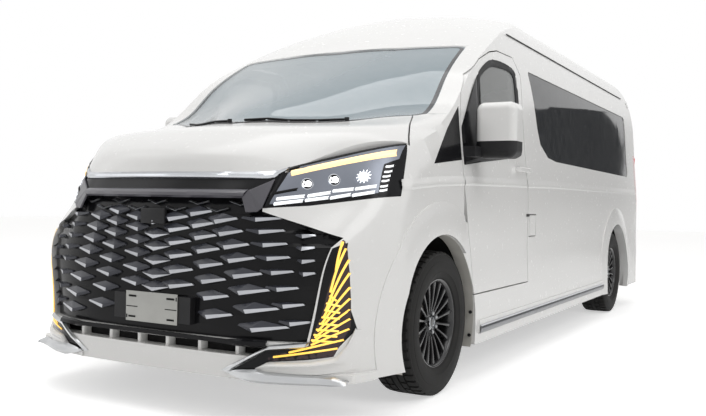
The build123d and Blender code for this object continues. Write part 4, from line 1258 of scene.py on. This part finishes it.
def makeArch(size):
    # the flange turned in round each front wheel opening, and the fender's tail in front of the door
    def around(radius, degrees):
        turn = math.radians(degrees)
        return size["middle"][0] + radius * math.cos(turn), size["middle"][1] + radius * math.sin(turn)

    radius, depths = size["radius"] - 2, size["depths"]
    turns = [size["from"] + (size["to"] - size["from"]) * step / 90 for step in range(91)]
    rows = [[at(depth, *around(radius, turn)) for turn in turns] for depth in depths]
    # the flange's grey finish is painted shade on what is white body paint
    flange = smooth(ribbon("flange", rows, "flangeGrey", 0.003))
    first, last = size["front"]
    arc = [around(size["radius"], first + (last - first) * step / 12) for step in range(13)]
    tail = band("tail", doorSidePoint, arc, size["tail"], 40, (0, 1, 1, 0), "paint", 4)
    screws = []
    for turn in size["screws"]:
        depth = depths[0] - size["screwSet"]
        spot = at(depth, *around(radius - size["screwIn"], turn))
        inward = (at(depth, *size["middle"]) - spot).normalized()
        screws.append(barAt("screw", spot - inward * 0.004, spot + inward * 0.005, size["screwRadius"], 12,
                            "trimBlack"))
    pair("archFlanges", joined("flanges", [*screws, flange]), "body_paint")
    pair("fenderTails", tail, "body_paint")


makeArch(archShape)
print("sides")

# Tail lamps, rear doors' fittings and bumper

rearShape = {
    "lampParts": (("tailBrake", 1290, 1440, "redLight", "red_lamp"),
                  ("tailTurn", 1130, 1262, "amberLens", "lamp"),
                  ("tailReverse", 1010, 1104, "clearLens", "lamp"),
                  ("tailReflector", 922, 986, "redLens", "red_lamp")),
    "lampSides": (885, 934), "lampLean": 3,
    "window": [(140, 1240), (760, 1240), (720, 1800), (140, 1800), (140, 1240)],
    "windowMiddle": (440, 1520), "seal": 26,
    "hinges": (620, 850, 1720), "pin": 838, "pinHalf": 40, "pinRadius": 0.0045,
    "hingePocket": (764, 848, 44, 9),      # sides, half height and depth
    "flush": 3, "hingeSet": (6, 4.5), "leaf": ((-70, -5, -32), (-3, 2, 32)),
    "cup": ((-150, -42), (905, 940)), "cupDepth": 16, "grip": ((-150, -52), (913.5, 933.5)), "gripDepth": 12,
    "plate": ((-262, -20), (640, 752)), "plateEdge": 6, "plateDepth": 5,
    "reflectors": ((690, 800), (338, 372)), "reflectorDepth": 6,
    # lower end, upper end, how far they stand off
    "wiperArm": ((560, 1230, 0.5), (200, 1290, 5)), "wiperBlade": ((420, 1256, 4), (160, 1300, 4)),
    "wiperRadii": (0.018, 0.0035, 0.004),
}


def atBack(x, depth, z):
    # millimetres, depth in from the van's rear end
    return Vector((x / 1000, tailEnd - depth / 1000, z / 1000))


def pocketIn(node, left, right, low, high, depth):
    # a shallow recess in the back of a panel, for what lies flush in it
    cutter = blockAt("cutter", atBack(left, depth, low), atBack(right, -20, high), "trimBlack")
    panel = bpy.data.objects[node + "_smooth"]
    modify(panel, "BOOLEAN", object=cutter, operation="DIFFERENCE", solver="EXACT")
    bpy.data.objects.remove(cutter)
    smooth(panel)


def makeTailLamps(size):
    for name, low, high, finish, slot in size["lampParts"]:
        upper = [(x, high) for x in size["lampSides"]]
        lower = shifted(upper, size["lampLean"], low - high)
        pair(name, band(name, tailPoint, upper, lower, 8, (1, 5, 6, 6, 5, 1), finish), slot)
    inner = drawnIn(size["window"], size["seal"], size["windowMiddle"])
    seal = band("seal", tailPoint, size["window"], inner, 80, (0.5, 1.5, 1.5, 0.5), "trimBlack")
    perSide("rearSeal", seal, "black_plastic", "rear_door")


def makeHinges(size):
    hinges = []
    inner, outer, half, pocket = size["hingePocket"]
    for height in size["hinges"]:
        depth = (tailEnd - tailPoint(size["pin"], height, 0).y) * 1000
        if depth < size["flush"]:
            pocketIn("rear_door_left", inner, outer, height - half, height + half, pocket)
            pocketIn("rear_door_right", -outer, -inner, height - half, height + half, pocket)
        closer, least = size["hingeSet"]
        place = atBack(size["pin"], max(depth - closer, least), height)
        pinEnd = Vector((0, 0, size["pinHalf"] / 1000))
        leaf = blockAt("leaf", *(place + Vector(corner) / 1000 for corner in size["leaf"]), "paint")
        hinges += [barAt("pin", place - pinEnd, place + pinEnd, size["pinRadius"], 20, "paint"),
                   rounded(leaf, 0.001)]
    perSide("rearHinge", smooth(joined("hinges", hinges)), "body_paint", "rear_door")


def makeRearFittings(size):
    (left, right), (low, high) = size["cup"]
    depth = size["cupDepth"]
    pocketIn("rear_door_right", left, right, low, high, depth)
    cup = blockAt("cup", atBack(left, depth, low), atBack(right, depth - 2, high), "trimBlack")
    (left, right), (low, high) = size["grip"]
    grip = blockAt("grip", atBack(left, size["gripDepth"], low), atBack(right, 1, high), "paint")
    grip = rounded(grip, 0.004, 3)
    rides(smooth(joined("rearHandle", [cup, grip])), "rear_door_right", "body_paint")
    (left, right), (low, high) = size["plate"]
    edge, depth = size["plateEdge"], size["plateDepth"]
    pocketIn("rear_door_right", left - edge, right + edge, low - edge, high + edge, depth)
    plate = blockAt("rearPlate", atBack(left, depth, low), atBack(right, 2, high), "plateGrey")
    rides(smooth(rounded(plate, 0.001)), "rear_door_right", "dark_steel")
    (left, right), (low, high) = size["reflectors"]
    depth = size["reflectorDepth"]
    pocketIn("rear_bumper", left, right, low, high, depth)
    pocketIn("rear_bumper", -right, -left, low, high, depth)
    lens = blockAt("reflector", atBack(left + 1, depth, low + 1), atBack(right - 1, 1, high - 1), "redLens")
    pair("rearReflectors", rounded(lens, 0.001), "red_lamp")
    foot, tip = (tailPoint(*end) for end in size["wiperArm"])
    back = Vector((0, 0.002, 0))
    pivot, arm, blade = size["wiperRadii"]
    wiper = [barAt("pivot", foot - 9 * back, foot + back, pivot, 20, "trimBlack"),
             barAt("arm", foot, tip, arm, 10, "trimBlack"),
             barAt("blade", *(tailPoint(*end) for end in size["wiperBlade"]), blade, 10, "linerBlack")]
    rides(smooth(joined("rearWiper", wiper)), "rear_door_left", "black_plastic")


makeTailLamps(rearShape)
makeHinges(rearShape)
makeRearFittings(rearShape)

railShape = {"lines": ([(2540, 1142), (4560, 1142)], [(2540, 1122), (4560, 1122)]),
             "lifts": (0.5, 2.5, 2.5, 0.5)}


def makeRail(size):
    # the sliding door's middle rail, on the right side only
    rail = band("rail", flankPoint, *size["lines"], 60, size["lifts"], "trimBlack")
    rides(copied(rail, acrossVan, "slidingRail"), "root", "black_plastic")
    bpy.data.objects.remove(rail)


makeRail(railShape)
print("rear")

# Cabin: seats, headlining, floor covering, dashboard fittings

seatShape = {
    "half": 203, "bolster": 72, "seam": 1,
    "cushion": [(6, 906), (4, 1014), (60, 1018), (418, 1000), (450, 906)],
    "back": [(452, 908), (432, 1012), (520, 1532), (604, 1534), (556, 908)],
    "head": [(524, 1556), (522, 1680), (600, 1684), (606, 1556)],
    "headHalf": 128, "voxel": 0.016, "cap": 0.011, "frames": 14, "pressure": 4,
    "places": {
        "frontSeatPads": ("front_seats", [(450, 640), (-450, 640)]),
        "rearSeatPads": ("rear_seats", [(x, y) for y in (1700, 2460, 3220, 3980) for x in (640, 185, -630)]),
    },
}


def padFrom(outline, left, right, size):
    # a block of foam cut to the outline, then filled like a cushion
    pad = outlined("pad", [at(left, y, z) for y, z in outline], "seatCloth")
    edit(pad)
    bpy.ops.mesh.extrude_region_move(TRANSFORM_OT_translate={"value": ((right - left) / 1000, 0, 0)})
    rounded(turnOut(pad), 0.022, 3)
    modify(pad, "REMESH", mode="VOXEL", voxel_size=size["voxel"])
    start = [vertex.co.copy() for vertex in pad.data.vertices]
    only(pad)
    bpy.ops.object.modifier_add(type="CLOTH")
    cloth = pad.modifiers[-1]
    cloth.settings.use_pressure = True
    cloth.settings.uniform_pressure_force = size["pressure"]
    cloth.settings.effector_weights.gravity = 0
    cloth.point_cache.frame_end = size["frames"]
    for step in range(1, size["frames"] + 1):
        scene.frame_set(step)
    bpy.ops.object.modifier_apply(modifier=cloth.name)
    scene.frame_set(1)
    for vertex, was in zip(pad.data.vertices, start):
        moved = vertex.co - was
        vertex.co = was + moved * min(1, size["cap"] / max(moved.length, 1e-9))
    return smooth(pad, 60)


def makeSeat(size):
    half, seam = size["half"], size["seam"]
    side = half - size["bolster"]
    widths = ((seam - side, side - seam), (side + seam, half), (-half, -side - seam))
    parts = [(part, *width) for width in widths for part in ("cushion", "back")]
    parts.append(("head", -size["headHalf"], size["headHalf"]))
    return joined("seat", [padFrom(size[part], left, right, size) for part, left, right in parts])


def placeSeats(size):
    seat = makeSeat(size)
    for name, (node, places) in size["places"].items():
        pads = joined(name, [copied(seat, Matrix.Translation((x / 1000, y / 1000, 0))) for x, y in places])
        rides(pads, "root", "seat_fabric", node)
    bpy.data.objects.remove(seat)


placeSeats(seatShape)
print("seats")

liningShape = {
    "from": 760, "to": 4700, "half": 800, "rows": 24, "columns": 20, "gap": 0.012,
    "carpets": (((-500, 1260), (480, 4640)), ((-700, 470), (700, 1250))), "carpetHeights": (601, 606),
}


def makeLinings(size):
    # a soft ceiling a little under the roof, and a carpet on the floor
    rows = []
    for row in range(size["rows"] + 1):
        y = size["from"] + (size["to"] - size["from"]) * row / size["rows"]
        line = []
        for column in range(size["columns"] + 1):
            x = size["half"] * (2 * column / size["columns"] - 1)
            roof = roofTree.ray_cast(at(x, y, 1500), Vector((0, 0, 1)))[0] or at(x, y, 2000)
            line.append(roof - Vector((0, 0, size["gap"])))
        rows.append(line)
    rides(smooth(ribbon("headlining", rows, "headlining", 0.004)), "root", "liner_plastic")
    bottom, top = size["carpetHeights"]
    carpets = [blockAt("carpet", at(*low, bottom), at(*high, top), "carpet") for low, high in size["carpets"]]
    rides(joined("carpets", carpets), "root", "seat_fabric")


makeLinings(liningShape)

dashShape = {
    "hood": ((300, 330, 1236), (600, 470, 1290)), "screen": ((-95, 424, 1210), (135, 438, 1285)),
    "vents": ((-760, -640), (-170, -115), (150, 205), (640, 760)), "ventDepths": (440, 500),
    "ventHeights": (1168, 1212),
    "grab": [(-700, 260, 1500), (-720, 300, 1530), (-716, 372, 1588), (-694, 392, 1604)],
}


def makeDash(size):
    (front, back), (low, high) = size["ventDepths"], size["ventHeights"]
    fittings = [rounded(blockAt("vent", at(left, front, low), at(right, back, high), "trimBlack"), 0.005)
                for left, right in size["vents"]]
    for part, finish, width, segments in (("screen", "glossBlack", 0.006, 3),
                                          ("hood", "cabinPlastic", 0.018, 4)):
        low, high = size[part]
        fittings.append(rounded(blockAt(part, at(*low), at(*high), finish), width, segments))
    rides(smooth(joined("dashFittings", fittings)), "root", "cabin_plastic")
    bars = [barAt("bar", at(*start), at(*end), 0.011, 12, "headlining")
            for start, end in zip(size["grab"], size["grab"][1:])]
    pair("grabHandles", smooth(joined("bars", bars)), "cabin_plastic")


makeDash(dashShape)
print("cabin")

# Floor, background and lamps

studio = {
    "floor": 60.0, "floorGlow": 0.52, "worldStrength": 0.42,
    "cardPlace": (10, 16, 2.15), "cardSize": (13, 4.3),
    # place, size, power
    "lamps": {"key": ((9, -2.5, 7), 5, 225.0), "fill": ((-8, -6, 5), 6, 75.0),
              "top": ((0, -2.5, 8), 8, 300.0)},
    "aim": (0, -0.5, 1),
}


def makeSky(values):
    # what the camera, metal and glass see is plain white; what lights the van is softer
    scene.world = bpy.data.worlds.new("studioWorld")
    sky = Finish(scene.world)
    seen = sky.ray("Camera")
    for kind in ("Glossy", "Transmission"):
        seen = seen.sum("MAXIMUM", seen, sky.ray(kind))
    soft = sky.tree.nodes["Background"]
    sky.feed(soft.inputs["Color"], (1.0, 0.99, 0.97))
    sky.feed(soft.inputs["Strength"], values["worldStrength"])
    white = sky.node("ShaderNodeBackground", {}, {"Color": (1, 1, 1), "Strength": 1.0})
    mixed = sky.node("ShaderNodeMixShader", {}, {0: seen, 1: Wire(sky, soft.outputs[0]), 2: white})
    sky.feed(sky.tree.nodes["World Output"].inputs[0], mixed)


def staged(piece, name, material):
    called(piece, name).data.materials.append(material)


def makeFloor(values):
    bpy.ops.mesh.primitive_plane_add(size=values["floor"], location=(0, 0, 0))
    floor = bpy.context.object
    paper = Finish("floorPaper")
    seen = paper.ray("Camera") + 0.75 * paper.ray("Glossy")
    paper.set(colour=paper.blend(paper.noise(0.8), (0.90, 0.90, 0.90), (0.93, 0.93, 0.93)), roughness=0.8,
              glow=(1, 1, 1), glowStrength=seen * values["floorGlow"])
    staged(floor, "floor", paper.owner)


def makeCard(values):
    # a board beside the van, dark below and light above, that only shows in paint and glass
    bpy.ops.mesh.primitive_plane_add(size=1, location=values["cardPlace"], rotation=(math.radians(90), 0, 0))
    card = bpy.context.object
    card.scale = (*values["cardSize"], 1)
    done(card).visible_camera = False
    board = Finish("cardGrey")
    low = board.ramp(board.height() * 0.4 + 0.05 * board.noise(0.5), (0.05, 1), (0.62, 0))
    board.set(colour=board.blend(low, (0.08, 0.08, 0.085), (0.80, 0.80, 0.80)), roughness=0.9)
    staged(card, "sideCard", board.owner)


def makeLamps(values):
    for name, (place, size, power) in values["lamps"].items():
        bpy.ops.object.light_add(type="AREA", location=place)
        lamp = bpy.context.object
        lamp.name = name
        lamp.data.energy = power
        lamp.data.size = size
        lamp.rotation_euler = (Vector(place) - Vector(values["aim"])).to_track_quat("Z", "Y").to_euler()


scene.view_settings.view_transform = "Standard"
makeSky(studio)
makeFloor(studio)
makeCard(studio)
makeLamps(studio)
print("studio")


bpy.ops.object.select_all(action="DESELECT")
